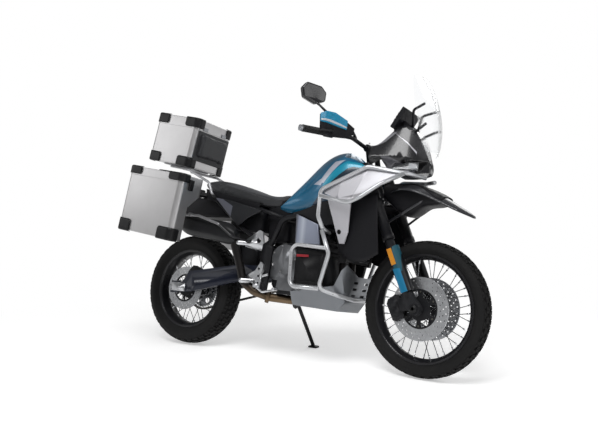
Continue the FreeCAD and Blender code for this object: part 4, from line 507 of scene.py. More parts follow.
def surface(name, grid, material, body="chassis", ring=False, angle=35):
    """Closed piece from rings of upright points, (rows, columns, 3). The rings make one
    closed round, or the first and the last are capped."""
    rows, columns = grid.shape[:2]
    faces = grid_faces(rows, columns, ring, True).tolist()
    if not ring:
        faces += ends(rows, columns)
    return outward(mesh_piece(name, grid, faces, material, body, angle))


def many(name, templates, faces, material, body="chassis", angle=35):
    """One piece from many like solids: templates is (copies, points, 3), upright."""
    copies, count = templates.shape[:2]
    all_faces = [[index + k * count for index in face] for k in range(copies) for face in faces]
    return outward(mesh_piece(name, templates, all_faces, material, body, angle))


def walled(piece, thick, offset=0):
    """Gives a sheet a wall: offset -1, 0 or 1 lays it inside, round or outside the sheet."""
    wall = piece.modifiers.new("wall", "SOLIDIFY")
    wall.thickness = thick
    wall.offset = offset
    return piece


def values_of(items, what):
    """A value of every vertex or face as an array of rows of three."""
    values = np.empty(len(items) * 3)
    items.foreach_get(what, values)
    return values.reshape(-1, 3)


def turned_frame(direction):
    """Two unit vectors square to a direction and to each other."""
    direction = np.asarray(direction, float) / np.linalg.norm(direction)
    helper = np.array([0.0, 0.0, 1.0]) if abs(direction[2]) < 0.9 else np.array([1.0, 0.0, 0.0])
    first = np.cross(helper, direction)
    first /= np.linalg.norm(first)
    return first, np.cross(direction, first), direction


def pipe_grid(path, radius, around=12):
    """Ring of that radius carried along a path: p(i, a) = path_i + r (u_i cos a + v_i sin a)."""
    path = np.asarray(path, float)
    tangent = np.gradient(path, axis=0)
    tangent /= np.linalg.norm(tangent, axis=1)[:, None]
    first, _, _ = turned_frame(tangent[0])
    angles = np.linspace(0, 2 * np.pi, around, endpoint=False)
    radius = np.broadcast_to(np.asarray(radius, float), len(path))
    u = first - tangent * (tangent @ first)[:, None]
    u /= np.linalg.norm(u, axis=1)[:, None]
    v = np.cross(tangent, u)
    ring = u[:, None] * np.cos(angles)[None, :, None] + v[:, None] * np.sin(angles)[None, :, None]
    return path[:, None] + ring * radius[:, None, None]


def curve_through(points, steps=12):
    """Smooth run through points: between b and c it is the cubic whose slopes there are
    (c - a) / 2 and (d - b) / 2."""
    p = np.asarray(points, float)
    p = np.vstack([2 * p[0] - p[1], p, 2 * p[-1] - p[-2]])
    a, b, c, d = p[:-3, None], p[1:-2, None], p[2:-1, None], p[3:, None]
    t = np.linspace(0, 1, steps, endpoint=False)[None, :, None]
    run = 0.5 * (2 * b + (c - a) * t + (2 * a - 5 * b + 4 * c - d) * t ** 2
                 + (3 * b - a - 3 * c + d) * t ** 3)
    return np.vstack([run.reshape(-1, p.shape[1]), p[-2]])


# %% [markdown]
# ## Tyres with cut blocks
# An adventure tyre has a plain casing that carries rows of separate rubber blocks. The casing
# is a profile turned about the axle. A block is a small tapered box that is laid on the
# crown: its two flat coordinates become a turn of the wheel and a step across the tread, so
# all blocks are bent to the tyre in one array.

# %% Casing and blocks
def crown_circle(radius, width):
    """Centre and radius of the arc across the tread, from its height at the shoulder."""
    half, drop = 0.42 * width, 0.13 * width
    bend = (half ** 2 + drop ** 2) / (2 * drop)
    return radius - bend, bend


def tread_height(across, radius, width):
    """Distance from the axle to the crown: c + sqrt(b^2 - y^2) on the arc c, b."""
    centre, bend = crown_circle(radius, width)
    return centre + np.sqrt(np.maximum(bend ** 2 - across ** 2, 0))


def casing_profile(radius, width, bead, half, groove):
    """Half of the outline from bead to crown: (distance from the axle, across)."""
    belly = bead + 0.48 * (radius - bead)
    side = curve_through([(bead + 0.004, half - 0.001, 0), (bead + 0.016, half + 0.004, 0),
                          (belly, width / 2 - 0.001, 0), (radius - 0.13 * width - 0.004, 0.445 * width, 0)],
                         8)[:, :2]
    across = np.linspace(0.40 * width, 0, 9)
    crown = np.column_stack([tread_height(across, radius, width) - groove, across])
    return np.vstack([side, crown])


def tyre(name, hub, radius, width, bead, half, body, groove, rows, count, gap):
    """Casing and blocks of one tyre. rows: (middle across, width across, shift), shares."""
    outline = casing_profile(radius, width, bead, half, groove)
    full = np.vstack([outline, (outline * [1, -1])[-2::-1]])
    inner = np.column_stack([np.full(2, bead + 0.001), [-half + 0.006, half - 0.006]])
    ring = np.vstack([full, inner])
    turn = np.linspace(0, 2 * np.pi, 120, endpoint=False)[:, None]
    away, across = ring.T
    grid = np.stack([hub[0] + np.cos(turn) * away, across + 0 * turn, hub[2] + np.sin(turn) * away], axis=-1)
    casing = surface(name + "_casing", grid, "tyre_rubber", body, ring=True, angle=50)
    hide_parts(name)
    # a block (u round the wheel, v across, h up): its foot is wider than its top, and its top
    # has a shallow cut across
    u, v = (flat.ravel() for flat in np.meshgrid([-0.5, -0.08, 0.0, 0.08, 0.5], [-0.5, 0.5], indexing="ij"))
    foot_h, top_h = np.full(len(u), -0.3), np.where(np.abs(u) < 0.05, 0.55, 1.0)
    u, v, h = np.hstack([[u, v, foot_h], [u * 0.86, v * 0.86, top_h]])
    blocks = []
    for middle, wide, shift in rows:
        step = 2 * np.pi / count
        angle = (np.arange(count)[:, None] + shift) * step + u * step * (1 - gap)
        across = width * (middle + v * wide) + 0 * angle
        lift = h * (groove - 0.0004)
        slope = across / crown_circle(radius, width)[1]
        far = tread_height(across, radius, width) - groove + lift * np.cos(slope)
        across = across + lift * slope * 0.8
        blocks.append(np.stack([hub[0] + np.cos(angle) * far, across, hub[2] + np.sin(angle) * far],
                               axis=-1))
    blocks = np.concatenate(blocks)
    low = np.arange(10).reshape(5, 2)
    high = low + 10
    faces = []
    for i in range(4):
        faces.append([high[i, 0], high[i + 1, 0], high[i + 1, 1], high[i, 1]])
        faces.append([low[i, 0], low[i, 1], low[i + 1, 1], low[i + 1, 0]])
        faces.append([low[i, 0], low[i + 1, 0], high[i + 1, 0], high[i, 0]])
        faces.append([low[i, 1], high[i, 1], high[i + 1, 1], low[i + 1, 1]])
    faces += [[low[0, 0], high[0, 0], high[0, 1], low[0, 1]], [low[4, 0], low[4, 1], high[4, 1], high[4, 0]]]
    many(name + "_blocks", blocks, faces, "tyre_rubber", body, angle=20)
    print(name, "casing", len(casing.data.polygons), "faces,", len(blocks), "blocks")


# rows: middle across the tread, width across, shift round the wheel, as shares
tyre("rear_tyre", REAR_HUB, 0.3336, 0.150, 0.2286, 0.054, "rear_wheel", 0.0085,
     [(0.0, 0.15, 0.0), (-0.19, 0.16, 0.5), (0.19, 0.16, 0.5), (-0.36, 0.12, 0.0), (0.36, 0.12, 0.0)],
     40, 0.3)
tyre("front_tyre", FRONT_HUB, 0.3477, 0.095, 0.2667, 0.030, "front_wheel", 0.0075,
     [(0.0, 0.17, 0.0), (-0.215, 0.17, 0.5), (0.215, 0.17, 0.5), (-0.375, 0.09, 0.0), (0.375, 0.09, 0.0)],
     44, 0.3)

# %% [markdown]
# ## Bolts and rivets
# Dozens of small fasteners tell the eye how large the machine is. A head is a low drum with
# a chamfered edge and a round socket in it. One template is turned to each fastener's
# direction and moved to its place, so a whole row of them is one array and one piece.

# %% Fastener heads
def head_template(sides):
    """Rings of a bolt head on its axis: (radius share, height share), with a round socket."""
    rings = [(1.0, 0.0), (1.0, 0.62), (0.86, 1.0), (0.5, 1.0), (0.46, 0.45)]
    angle = np.linspace(0, 2 * np.pi, sides, endpoint=False)
    points = [np.column_stack([r * np.cos(angle), r * np.sin(angle), np.full(sides, h)]) for r, h in rings]
    return np.vstack(points), grid_faces(len(rings), sides, False, True).tolist() + ends(len(rings), sides)


def heads(name, rows, material="bolt_steel", body="chassis"):
    """Heads at rows of (x, y, z, direction, radius, height), in metres."""
    points, faces = head_template(12)
    copies = []
    for x, y, z, direction, radius, height in rows:
        u, v, w = turned_frame(direction)
        copies.append(np.array([x, y, z]) + (points[:, :1] * u + points[:, 1:2] * v) * radius
                      + points[:, 2:] * w * height)
    return many(name, np.array(copies), faces, material, body)


def ring_of(centre, radius, count, side, start=0.0):
    """Places round a centre (x, z) at a distance from the middle plane."""
    angle = start + np.arange(count) * 2 * np.pi / count
    return [(centre[0] + radius * math.cos(a), side, centre[1] + radius * math.sin(a)) for a in angle]


rows = []
for side in (-1, 1):
    for spot in ring_of((1.530, 0.3477), 0.086, 6, side * 0.0645, 0.52):
        rows.append((*spot, (0, side, 0), 0.0052, 0.003))
heads("front_disc_bolts", rows, "chain_steel", "front_wheel")
rows = [(*spot, (0, -1, 0), 0.0052, 0.003) for spot in ring_of((0, 0.3336), 0.071, 6, -0.0925, 0.52)]
rows += [(*spot, (0, 1, 0), 0.006, 0.005) for spot in ring_of((0, 0.3336), 0.054, 6, 0.094)]
heads("rear_wheel_bolts", rows, "bolt_steel", "rear_wheel")
rows = []
for side, clutch, low in ((-1, 0.168, 0.156), (1, 0.152, 0.164)):
    spots = ring_of((0.752, 0.545), 0.0725, 7, side * clutch)
    spots += ring_of((0.860, 0.470), 0.0845, 9, side * low, 0.3)
    rows += [(*spot, (0, side, 0), 0.0055, 0.005) for spot in spots]
heads("engine_cover_bolts", rows)
heads("swingarm_pivot_nuts", [(0.606, side * 0.156, 0.470, (0, side, 0), 0.015, 0.008) for side in (-1, 1)])
rows = []
for side in (-1, 1):
    for along in (0.935, 0.955, 1.141, 1.159):
        spot = by_fork(along, 0.030 + 0.041, side * 0.1075)
        rows.append((*spot, STEER_AHEAD, 0.0048, 0.005))
    for ahead in (-0.018, 0.018):
        spot = by_fork(1.281, 0.052 + ahead, side * 0.042) + STEER_UP * 0.020
        rows.append((*spot, STEER_UP, 0.0042, 0.005))
heads("fork_clamp_bolts", rows, "bolt_steel", "steering")
print("fasteners placed")

# %% [markdown]
# ## Drive chain
# A chain is a string of links of two kinds: inner plates between outer plates, on pins. Its
# path is two straight runs and a wrap round each sprocket. The path is measured by its
# length, each pin takes its place at one pitch after the last, and one plate outline is
# laid from pin to pin.

# %% Links along the chain's path
def chain_path(spacing, far, near, r_far, r_near):
    """Pins at even steps along the belt line round two circles, upright, as (x, z)."""
    gap = np.array(near) - np.array(far)
    lean = math.atan2(gap[1], gap[0])
    tilt = math.acos((r_far - r_near) / np.linalg.norm(gap))
    top, low = lean + tilt, lean - tilt
    wrap_near = np.linspace(top, low, 60)
    wrap_far = np.linspace(low, top - 2 * math.pi, 90)
    path = np.vstack([
        np.array(near) + r_near * np.column_stack([np.cos(wrap_near), np.sin(wrap_near)]),
        np.array(far) + r_far * np.column_stack([np.cos(wrap_far), np.sin(wrap_far)]),
    ])
    path = np.vstack([path, path[:1]])
    length = np.concatenate([[0], np.cumsum(np.linalg.norm(np.diff(path, axis=0), axis=1))])
    count = 2 * round(length[-1] / spacing / 2)
    at = np.linspace(0, length[-1], count, endpoint=False)
    return np.column_stack([np.interp(at, length, path[:, 0]), np.interp(at, length, path[:, 1])])


CHAIN_AT = 0.091             # the chain's distance from the middle plane, in metres
PITCH, PLATE_ROUND, ROLLER = 0.0159, 0.0058, 0.0046
INNER, OUTER, PLATE = 0.0048, 0.0066, 0.0014    # where the plates lie, and their thickness
ROUND = 7                    # points round each end of a plate
pins = chain_path(PITCH, (0.0, 0.3336), (0.674, 0.452), 0.119, 0.049)
after = np.roll(pins, -1, axis=0)
along = after - pins
reach = np.linalg.norm(along, axis=1)[:, None]
along = along / reach
square = np.column_stack([-along[:, 1], along[:, 0]])
arc = np.linspace(math.pi / 2, 3 * math.pi / 2, ROUND)
bow = PLATE_ROUND * np.column_stack([np.cos(arc), np.sin(arc)])
plate = np.vstack([bow, -bow])
at_after = np.repeat([0.0, 1.0], ROUND)
links = []
for side in (-1, 1):
    centre = pins[:, None] + along[:, None] * (at_after[None, :, None] * reach[:, None])
    spots = centre + along[:, None] * plate[None, :, :1] + square[:, None] * plate[None, :, 1:]
    offset = np.where(np.arange(len(pins)) % 2, INNER, OUTER)[:, None]
    for thick in (0.0, PLATE):
        y = CHAIN_AT + side * (offset + thick) + np.zeros(spots.shape[:2])
        links.append(np.stack([spots[..., 0], y, spots[..., 1]], axis=-1))
link_faces = grid_faces(2, 2 * ROUND, False, True).tolist() + ends(2, 2 * ROUND)
plates = np.concatenate([np.concatenate(links[:2], axis=1), np.concatenate(links[2:], axis=1)])
chain = many("chain_links", plates, link_faces, "chain_steel")
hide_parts("drive_chain")
angle = np.linspace(0, 2 * np.pi, 10, endpoint=False)
x, z = pins[:, :1] + ROLLER * np.cos(angle), pins[:, 1:] + ROLLER * np.sin(angle)
rollers = np.concatenate([np.stack([x, CHAIN_AT + half + 0 * x, z], axis=-1) for half in (-0.0075, 0.0075)],
                         axis=1)
many("chain_rollers", rollers, grid_faces(2, 10, False, True).tolist() + ends(2, 10), "chain_steel")
print("chain links:", len(pins))

# %% [markdown]
# ## Vinyl
# The cover of a seat is vinyl with fine pebbles, which are the cells of a Voronoi pattern. Its
# top is paler than its sides, and the border between them runs along the seat's edge.

# %% Vinyl of the seat and the backrest pad
def vinyl(name, top, side, split=None):
    """Grained vinyl. Inside the polygon `split`, seen from the side, it has the top's colour."""
    tree, shader, where = nodes_of(name)
    cells = add(tree, "TexVoronoi", Vector=where, Scale=620.0).outputs["Distance"]
    worn = noise(tree, where, 11.0, detail=6.0)
    high = mixed(tree, worn, shade(top, 0.85), shade(top, 1.2))
    low = mixed(tree, worn, shade(side, 0.85), shade(side, 1.2))
    if split:
        high = mixed(tree, inside(tree, upright_place(tree, where), split), low, high)
    give(tree, shader, {"Base Color": high, "Roughness": span(tree, worn, 0.46, 0.64),
                        "Normal": bump(tree, cells, 0.35, 0.0005), "Sheen Weight": 0.08})


vinyl("seat_vinyl", (0.052, 0.054, 0.060), (0.026, 0.027, 0.030),
      [(0.04, 0.985), (0.20, 0.978), (0.33, 0.950), (0.50, 0.906), (0.62, 0.886), (0.70, 0.92),
       (0.70, 1.06), (0.04, 1.06)])
vinyl("pad_vinyl", (0.024, 0.025, 0.028), (0.024, 0.025, 0.028))
print("finishes:", len(finishes))

# %% [markdown]
# ## Seat and backrest pad
# A motorcycle seat is foam under a tight cover, so it is crowned between its edges and
# pulled in at its seams. The CAD solid is remeshed into even small faces and blown up a
# little as cloth, which rounds it as foam does. Sewn channels come after that: every point
# near a seam's line sinks by a depth that fades over a few millimetres.

# %% Foam under pressure, and sewn channels
CLOTH = dict(quality=4, mass=0.35, tension_stiffness=22, compression_stiffness=22, shear_stiffness=8,
             bending_stiffness=2.5, use_pressure=True, uniform_pressure_force=4.0)
CLOTH_FRAMES = 20


def foam(node, name, material, voxel=0.006, shrink=0.006, cap=0.009):
    """CAD solid remeshed, drawn in, then swollen by cloth pressure up to a cap."""
    piece = merged(node, name)
    even = piece.modifiers.new("even", "REMESH")
    even.mode = "VOXEL"
    even.voxel_size = voxel
    depsgraph = bpy.context.evaluated_depsgraph_get()
    smooth = bpy.data.meshes.new_from_object(piece.evaluated_get(depsgraph))
    piece.modifiers.clear()
    piece.data = smooth
    normals = values_of(smooth.vertices, "normal")
    start = values_of(smooth.vertices, "co") - normals * shrink
    smooth.vertices.foreach_set("co", start.ravel())
    scene = bpy.context.scene
    cloth = piece.modifiers.new("foam", "CLOTH")
    for key, entry in CLOTH.items():
        setattr(cloth.settings, key, entry)
    cloth.settings.effector_weights.gravity = 0
    for number in range(1, CLOTH_FRAMES + 1):
        scene.frame_set(number)
    depsgraph = bpy.context.evaluated_depsgraph_get()
    blown = bpy.data.meshes.new_from_object(piece.evaluated_get(depsgraph))
    piece.modifiers.clear()
    moved = values_of(blown.vertices, "co") - start
    far = np.linalg.norm(moved, axis=1)[:, None]
    start = start + moved * np.minimum(1, cap / np.maximum(far, 1e-9))
    scene.frame_set(1)
    smooth.vertices.foreach_set("co", start.ravel())
    smooth.update()
    smooth.shade_smooth()
    smooth.materials.clear()
    smooth.materials.append(finishes[material])
    finer = piece.modifiers.new("finer", "SUBSURF")
    finer.levels = finer.render_levels = 1
    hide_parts(node)
    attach(piece, "chassis")
    print(name, len(start), "points")
    return piece


SEAM_DEPTH, SEAM_WIDTH = 0.003, 0.007


def sewn(piece, lines):
    """Sinks the points near seams: depth * exp(-(d / width)^2), d the way to the line."""
    mesh = piece.data
    spots, normals = values_of(mesh.vertices, "co"), values_of(mesh.vertices, "normal")
    count = len(spots)
    sink = np.zeros(count)
    for line in lines:
        run = on_chassis(curve_through(line, 16))
        nearest = np.full(count, 9.0)
        for start in range(0, count, 4000):
            part = spots[start:start + 4000]
            nearest[start:start + 4000] = np.sqrt(((part[:, None] - run[None]) ** 2).sum(axis=2).min(axis=1))
        sink = np.maximum(sink, SEAM_DEPTH * np.exp(-(nearest / SEAM_WIDTH) ** 2))
    mesh.vertices.foreach_set("co", (spots - normals * sink[:, None]).ravel())
    mesh.update()


seat = foam("seat", "seat_foam", "seat_vinyl")
seams = []
for side in (-1, 1):
    seams.append([(0.075, side * 0.085, 0.987), (0.18, side * 0.122, 0.980), (0.33, side * 0.138, 0.951),
                  (0.48, side * 0.136, 0.908), (0.60, side * 0.114, 0.888), (0.675, side * 0.086, 0.915)])
seams.append([(0.330, -0.135, 0.952), (0.345, -0.08, 0.966), (0.352, 0.0, 0.968), (0.345, 0.08, 0.966),
              (0.330, 0.135, 0.952)])
seams.append([(0.470, -0.13, 0.914), (0.462, -0.07, 0.930), (0.460, 0.0, 0.933), (0.462, 0.07, 0.930),
              (0.470, 0.13, 0.914)])
sewn(seat, seams)
foam("backrest_pad", "backrest_foam", "pad_vinyl", voxel=0.005, shrink=0.004, cap=0.007)

# %% [markdown]
# ## Luggage fittings
# The cases are plain brushed boxes, so their fittings carry the look. They are worked out in
# each case's own square frame, which is pitched a little on the machine, and then placed.

# %% Frames of the cases
# name: low x, high x, low y, high y, floor, top, lid height, pitch in degrees
CASES = {
    "right": (-0.205, 0.217, -0.492, -0.302, 0.614, 0.990, 0.048, 7.8),
    "left": (-0.205, 0.217, 0.302, 0.492, 0.614, 0.990, 0.048, 7.8),
    "top": (-0.347, 0.001, -0.170, 0.170, 1.106, 1.408, 0.062, 9.7),
}


def on_case(name, points):
    """Points in a case's square frame, from its middle, to the upright machine."""
    low_x, high_x, low_y, high_y, floor, top, _, pitch = CASES[name]
    centre = np.array([(low_x + high_x) / 2, (low_y + high_y) / 2, (floor + top) / 2])
    turn = np.array(Matrix.Rotation(math.radians(pitch), 3, "Y"))
    return np.asarray(points, float) @ turn.T + centre


def case_size(name):
    """Half length, half width, half height and the lid's seam, all from the middle."""
    low_x, high_x, low_y, high_y, floor, top, lid, _ = CASES[name]
    tall = (top - floor) / 2
    return (high_x - low_x) / 2, (high_y - low_y) / 2, tall, tall - lid


def soft_box(size, bend):
    """Rounded box: a ring (superellipse of power 5) that narrows at both ends by a quarter
    turn: p(i, a) = (X(a) c_i, Y(a) c_i, z_i), with c and z from a rounded edge."""
    half = np.asarray(size, float) / 2
    a = np.linspace(0, 2 * np.pi, 28, endpoint=False)
    ca, sa = np.cos(a), np.sin(a)
    ring = np.column_stack([np.sign(ca) * np.abs(ca) ** 0.35, np.sign(sa) * np.abs(sa) ** 0.35])
    edge = np.linspace(0, np.pi / 2, 5)
    inset = bend * (1 - np.sin(edge))
    level = half[2] - bend * (1 - np.cos(edge))
    inset = np.concatenate([inset, inset[::-1]])[:, None]
    level = np.concatenate([-level, level[::-1]])[:, None]
    x, y = ring[:, 0] * (half[0] - inset), ring[:, 1] * (half[1] - inset)
    return np.stack([x, y, level + 0 * x], axis=-1)


def block(name, centre, size, material, body="chassis", bend=0.002, turn=None, case=None):
    """A rounded block round a centre, turned by a 3x3 array, in the upright machine."""
    grid = soft_box(size, min(bend, min(size) / 2.2))
    if turn is not None:
        grid = grid @ turn.T
    grid = grid + np.asarray(centre, float)
    return surface(name, on_case(case, grid) if case else grid, material, body)


print("cases:", ", ".join(CASES))


# %% [markdown]
# ## Corner guards
# Each guard is one moulded shell that wraps a corner of its case: along the sides, over the
# edge and a little way onto the roof or the floor. Its grid has one parameter that runs round
# the upright corner (a straight, a quarter turn, a straight) and one that runs from the roof
# over the edge and down. Towards both ends the shell gets shorter, which rounds its outline.

# %% Shells round the corners
ROOF = 0.020          # metres that a guard reaches onto the roof or the floor
BEND, EDGE = 0.030, 0.007             # radii of the case's upright corner and level edge
PROUD, GUARD_WALL = 0.0035, 0.0028    # how far a guard stands off the case, and its wall
FADE = 0.014          # the way over which it gets shorter towards its ends
REACH_X, REACH_Y = 0.105, 0.062       # how far it reaches from the corner along and across


def guard_grid(half_x, half_y, edge_z, tall, upward):
    """p(u, v): u runs along the outline of the corner, v from the roof over the edge and down.
    The point is the outline less its normal n(u) times the inset d(v), at the level z(v)."""
    r = BEND + PROUD
    x, y = half_x + PROUD, half_y + PROUD
    share = np.linspace(0, 1, 9)
    along_x = np.column_stack([x - REACH_X + share * (REACH_X - r), np.full(9, y)])
    along_y = np.column_stack([np.full(9, x), y - r - share * (REACH_Y - r)])
    a = np.linspace(np.pi / 2, 0, 11)[1:-1]
    turn = np.column_stack([np.cos(a), np.sin(a)])
    outline = np.vstack([along_x, [x - r, y - r] + r * turn, along_y])
    normal = np.vstack([np.tile([0.0, 1.0], (9, 1)), turn, np.tile([1.0, 0.0], (9, 1))])
    far = np.concatenate([[0], np.cumsum(np.linalg.norm(np.diff(outline, axis=0), axis=1))])
    near_end = np.clip(np.minimum(far, far[-1] - far) / FADE, 0, 1)
    full = (1 - FADE / tall * (1 - np.sqrt(1 - (1 - near_end) ** 2)))[:, None]
    quarter = np.linspace(0, np.pi / 2, 6)
    inset = np.concatenate([[ROOF], EDGE * (1 - np.sin(quarter)), np.zeros(5)])
    drop = np.concatenate([[0], EDGE * (1 - np.cos(quarter)), np.linspace(EDGE, tall, 6)[1:]]) - PROUD
    depth = np.where(inset > EDGE, EDGE + (inset - EDGE) * (full - 0.3), inset)
    level = edge_z - upward * np.where(drop > EDGE, EDGE + (drop - EDGE) * full, drop)
    plan = outline[:, None] - normal[:, None] * depth[..., None]
    return np.concatenate([plan, (level + 0 * depth)[..., None]], axis=-1)


def corner_guard(name, case, end, side, edge_z, tall, upward, body):
    """One guard, mirrored into its corner: end is front or rear, side is left or right."""
    long, wide, _, _ = case_size(case)
    grid = guard_grid(long, wide, edge_z, tall, upward) * [end, side, 1.0]
    if end * side * upward > 0:
        grid = grid[::-1]
    piece = mesh_piece(name, on_case(case, grid), grid_faces(*grid.shape[:2]), "corner_plastic", body,
                       angle=60)
    return walled(piece, GUARD_WALL, -1)


for case in ("right", "left", "top"):
    long, wide, tall, seam = case_size(case)
    sides = {"right": (-1,), "left": (1,), "top": (-1, 1)}[case]
    shells, low_shells = [], []
    for end in (-1, 1):
        for side in sides:
            label = "%s_%s_%s" % (case, "front" if end > 0 else "rear", "left" if side > 0 else "right")
            shells.append(corner_guard(label + "_lid_guard", case, end, side, tall, tall - seam - 0.003, 1,
                                       case + "_lid"))
            low_shells.append(corner_guard(label + "_low_guard", case, end, side, -tall,
                                           0.060 if case == "top" else 0.070, -1, "chassis"))
    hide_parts(case + "_lid_guards")
    if case == "right":
        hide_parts("case_guards")
print("guards placed")

# %% [markdown]
# ## Latches, handles and rivets
# A latch hangs over each lid's seam. The side cases have a folded-down handle and two pressed
# ribs on the lid, the top case has rails and hinge barrels, and a row of rivets goes through
# each guard.

# %% Fittings of the cases
RIVET = (0.0045, 0.0022)      # radius and height of a head, in metres
rows_low, rows_lid = [], {"right": [], "left": [], "top": []}
for name in ("right", "left", "top"):
    long, wide, tall, seam = case_size(name)
    out = {"right": -1, "left": 1, "top": 1}[name]
    lid_body = name + "_lid"
    if name == "top":
        # the latch hangs over the seam at the back
        block("top_latch", (-long - 0.007, 0, seam - 0.006), (0.014, 0.075, 0.05), "corner_plastic",
              lid_body, 0.003, case=name)
        # vinyl apron below the seam, behind the backrest pad
        block("top_pad_apron", (long + 0.004, 0, -0.011), (0.008, 0.300, 0.188), "pad_vinyl", bend=0.003,
              case=name)
        for side in (-1, 1):
            block("top_rail_%d" % (side + 1), (0.0, side * (wide - 0.055), tall + 0.003),
                  (2 * long - 0.13, 0.014, 0.006), "case_sheet", lid_body, 0.002, case=name)
            block("top_hinge_%d" % (side + 1), (long + 0.003, side * 0.09, seam + 0.012),
                  (0.006, 0.04, 0.022), "dull_alloy", lid_body, 0.002, case=name)
    else:
        for end, word in ((1, "_latch"), (-1, "_latch_rear")):
            block(name + word, (end * (long + 0.007), out * 0.02, seam - 0.004), (0.014, 0.034, 0.062),
                  "corner_plastic", lid_body, 0.003, case=name)
        for end in (-1, 1):
            block("%s_rib_%d" % (name, end + 1), (0, end * 0.035, tall + 0.0016),
                  (2 * long - 0.12, 0.010, 0.004), "case_sheet", lid_body, 0.0015, case=name)
        # handle lying folded down on the lid, an arch whose ends come down to it
        arch = curve_through([(-0.07, 0, tall + 0.004), (-0.062, 0, tall + 0.009), (0, 0, tall + 0.010),
                              (0.062, 0, tall + 0.009), (0.07, 0, tall + 0.004)], 6)
        surface(name + "_handle", on_case(name, pipe_grid(arch, 0.0045, 10)), "corner_plastic", lid_body)
    # rivets through the guards: three on the side, one on the end
    for end in (-1, 1):
        for side in ((-1, 1) if name == "top" else (out,)):
            for low, group in ((-tall + 0.03, rows_low), (seam + 0.024, rows_lid[name])):
                places = [(end * (long - back), side * (wide + 0.0033), low, (0, side, 0))
                          for back in (0.045, 0.066, 0.087)]
                places.append((end * (long + 0.0033), side * (wide - 0.045), low, (end, 0, 0)))
                for x, y, z, direction in places:
                    spot = on_case(name, (x, y, z))
                    ahead = on_case(name, direction) - on_case(name, (0, 0, 0))
                    group.append((*spot, ahead, *RIVET))
heads("case_rivets", rows_low, "dull_alloy")
for name, rows in rows_lid.items():
    heads(name + "_lid_rivets", rows, "dull_alloy", name + "_lid")
print("luggage fitted")

# %% [markdown]
# ## Lamps and display
# The lamp node holds clear, amber and red pieces together. A face knows where it is, so
# each one gets its glass by its place: red and amber at the tail, clear in the nose.

# %% Glass by place, and the display
lamps = skins["lamp_lenses"]
lamps.data.materials.append(finishes["lens_amber"])
lamps.data.materials.append(finishes["lens_red"])
upright = (values_of(lamps.data.polygons, "center") - stance) @ lean_turn
kind = np.where(upright[:, 0] < 0, np.where(np.abs(upright[:, 1]) > 0.08, 1, 2), 0)
lamps.data.polygons.foreach_set("material_index", kind.astype(np.int32))
lamps.data.update()
print("lamp faces, clear, amber and red:", np.bincount(kind))

DISPLAY = np.array([1.330, 0.0, 1.334])
DISPLAY_TILT = 32       # degrees back from upright
tilt = np.array(Matrix.Rotation(math.radians(DISPLAY_TILT), 3, "Y"))
block("display_glass_sheet", DISPLAY + tilt @ [-0.0128, 0, 0.002], (0.0022, 0.172, 0.108), "display_glass",
      turn=tilt, bend=0.001)
for side in (-1, 1):
    for number, up in enumerate((-0.02, 0.0, 0.02)):
        block("display_key_%d_%d" % (side + 1, number), DISPLAY + tilt @ [-0.0138, side * 0.0905, up],
              (0.003, 0.006, 0.012), "moulded_grey", turn=tilt, bend=0.001)

# %% [markdown]
# ## Mirrors and nose edge
# The mirror heads are turned towards the rider, each about an upright line through its
# middle. The turn fades in along the bend of the stem, so the stem stays in its clamp. A
# patch between two edges makes the silver strip over the nose.

# %% Heads, their glasses, and strips
def between(first, second, rows):
    """Grid between two edges: p(s, t) = (1 - t) a(s) + t b(s)."""
    a, b = curve_through(first, 10), curve_through(second, 10)
    t = np.linspace(0, 1, rows)[:, None, None]
    return a[None] * (1 - t) + b[None] * t


def patch(name, first, second, material, body="chassis", thick=0.0008):
    """Strip between two edges, with a wall."""
    grid = between(first, second, 5)
    walled(mesh_piece(name, grid, grid_faces(*grid.shape[:2]), material, body), thick)


bar = by_fork(1.281, 0.052, 0.0)
HEAD_TURN = 28          # degrees that each mirror is turned inward, towards the rider
CAD_TURN = -22          # the same in the CAD piece
HEAD_MIDDLE = bar + [-0.118, 0.420, 0.222]
BEND_LOW, BEND_TALL = 0.137, 0.03     # where the stem bends, above the middle of the bar


def turn_mirrors(piece):
    """p -> c + R(w b) (p - c) about the upright line through the middle c of each head, with
    b the change of turn and w a share that rises from 0 at the stem's bend to 1 at the head."""
    upright = (values_of(piece.data.vertices, "co") - stance) @ lean_turn
    upright = (upright - STEER_FOOT) @ steer_turn + STEER_FOOT
    side = np.sign(upright[:, 1])
    share = np.clip((upright[:, 2] - (bar[2] + BEND_LOW)) / BEND_TALL, 0, 1)
    share = share * share * (3 - 2 * share)
    angle = share * side * math.radians(HEAD_TURN - CAD_TURN)
    x, y = upright[:, 0] - HEAD_MIDDLE[0], upright[:, 1] - side * HEAD_MIDDLE[1]
    upright[:, 0] = HEAD_MIDDLE[0] + x * np.cos(angle) - y * np.sin(angle)
    upright[:, 1] = side * HEAD_MIDDLE[1] + x * np.sin(angle) + y * np.cos(angle)
    piece.data.vertices.foreach_set("co", on_steering(upright).ravel())
    piece.data.update()


turn_mirrors(skins["mirrors"])
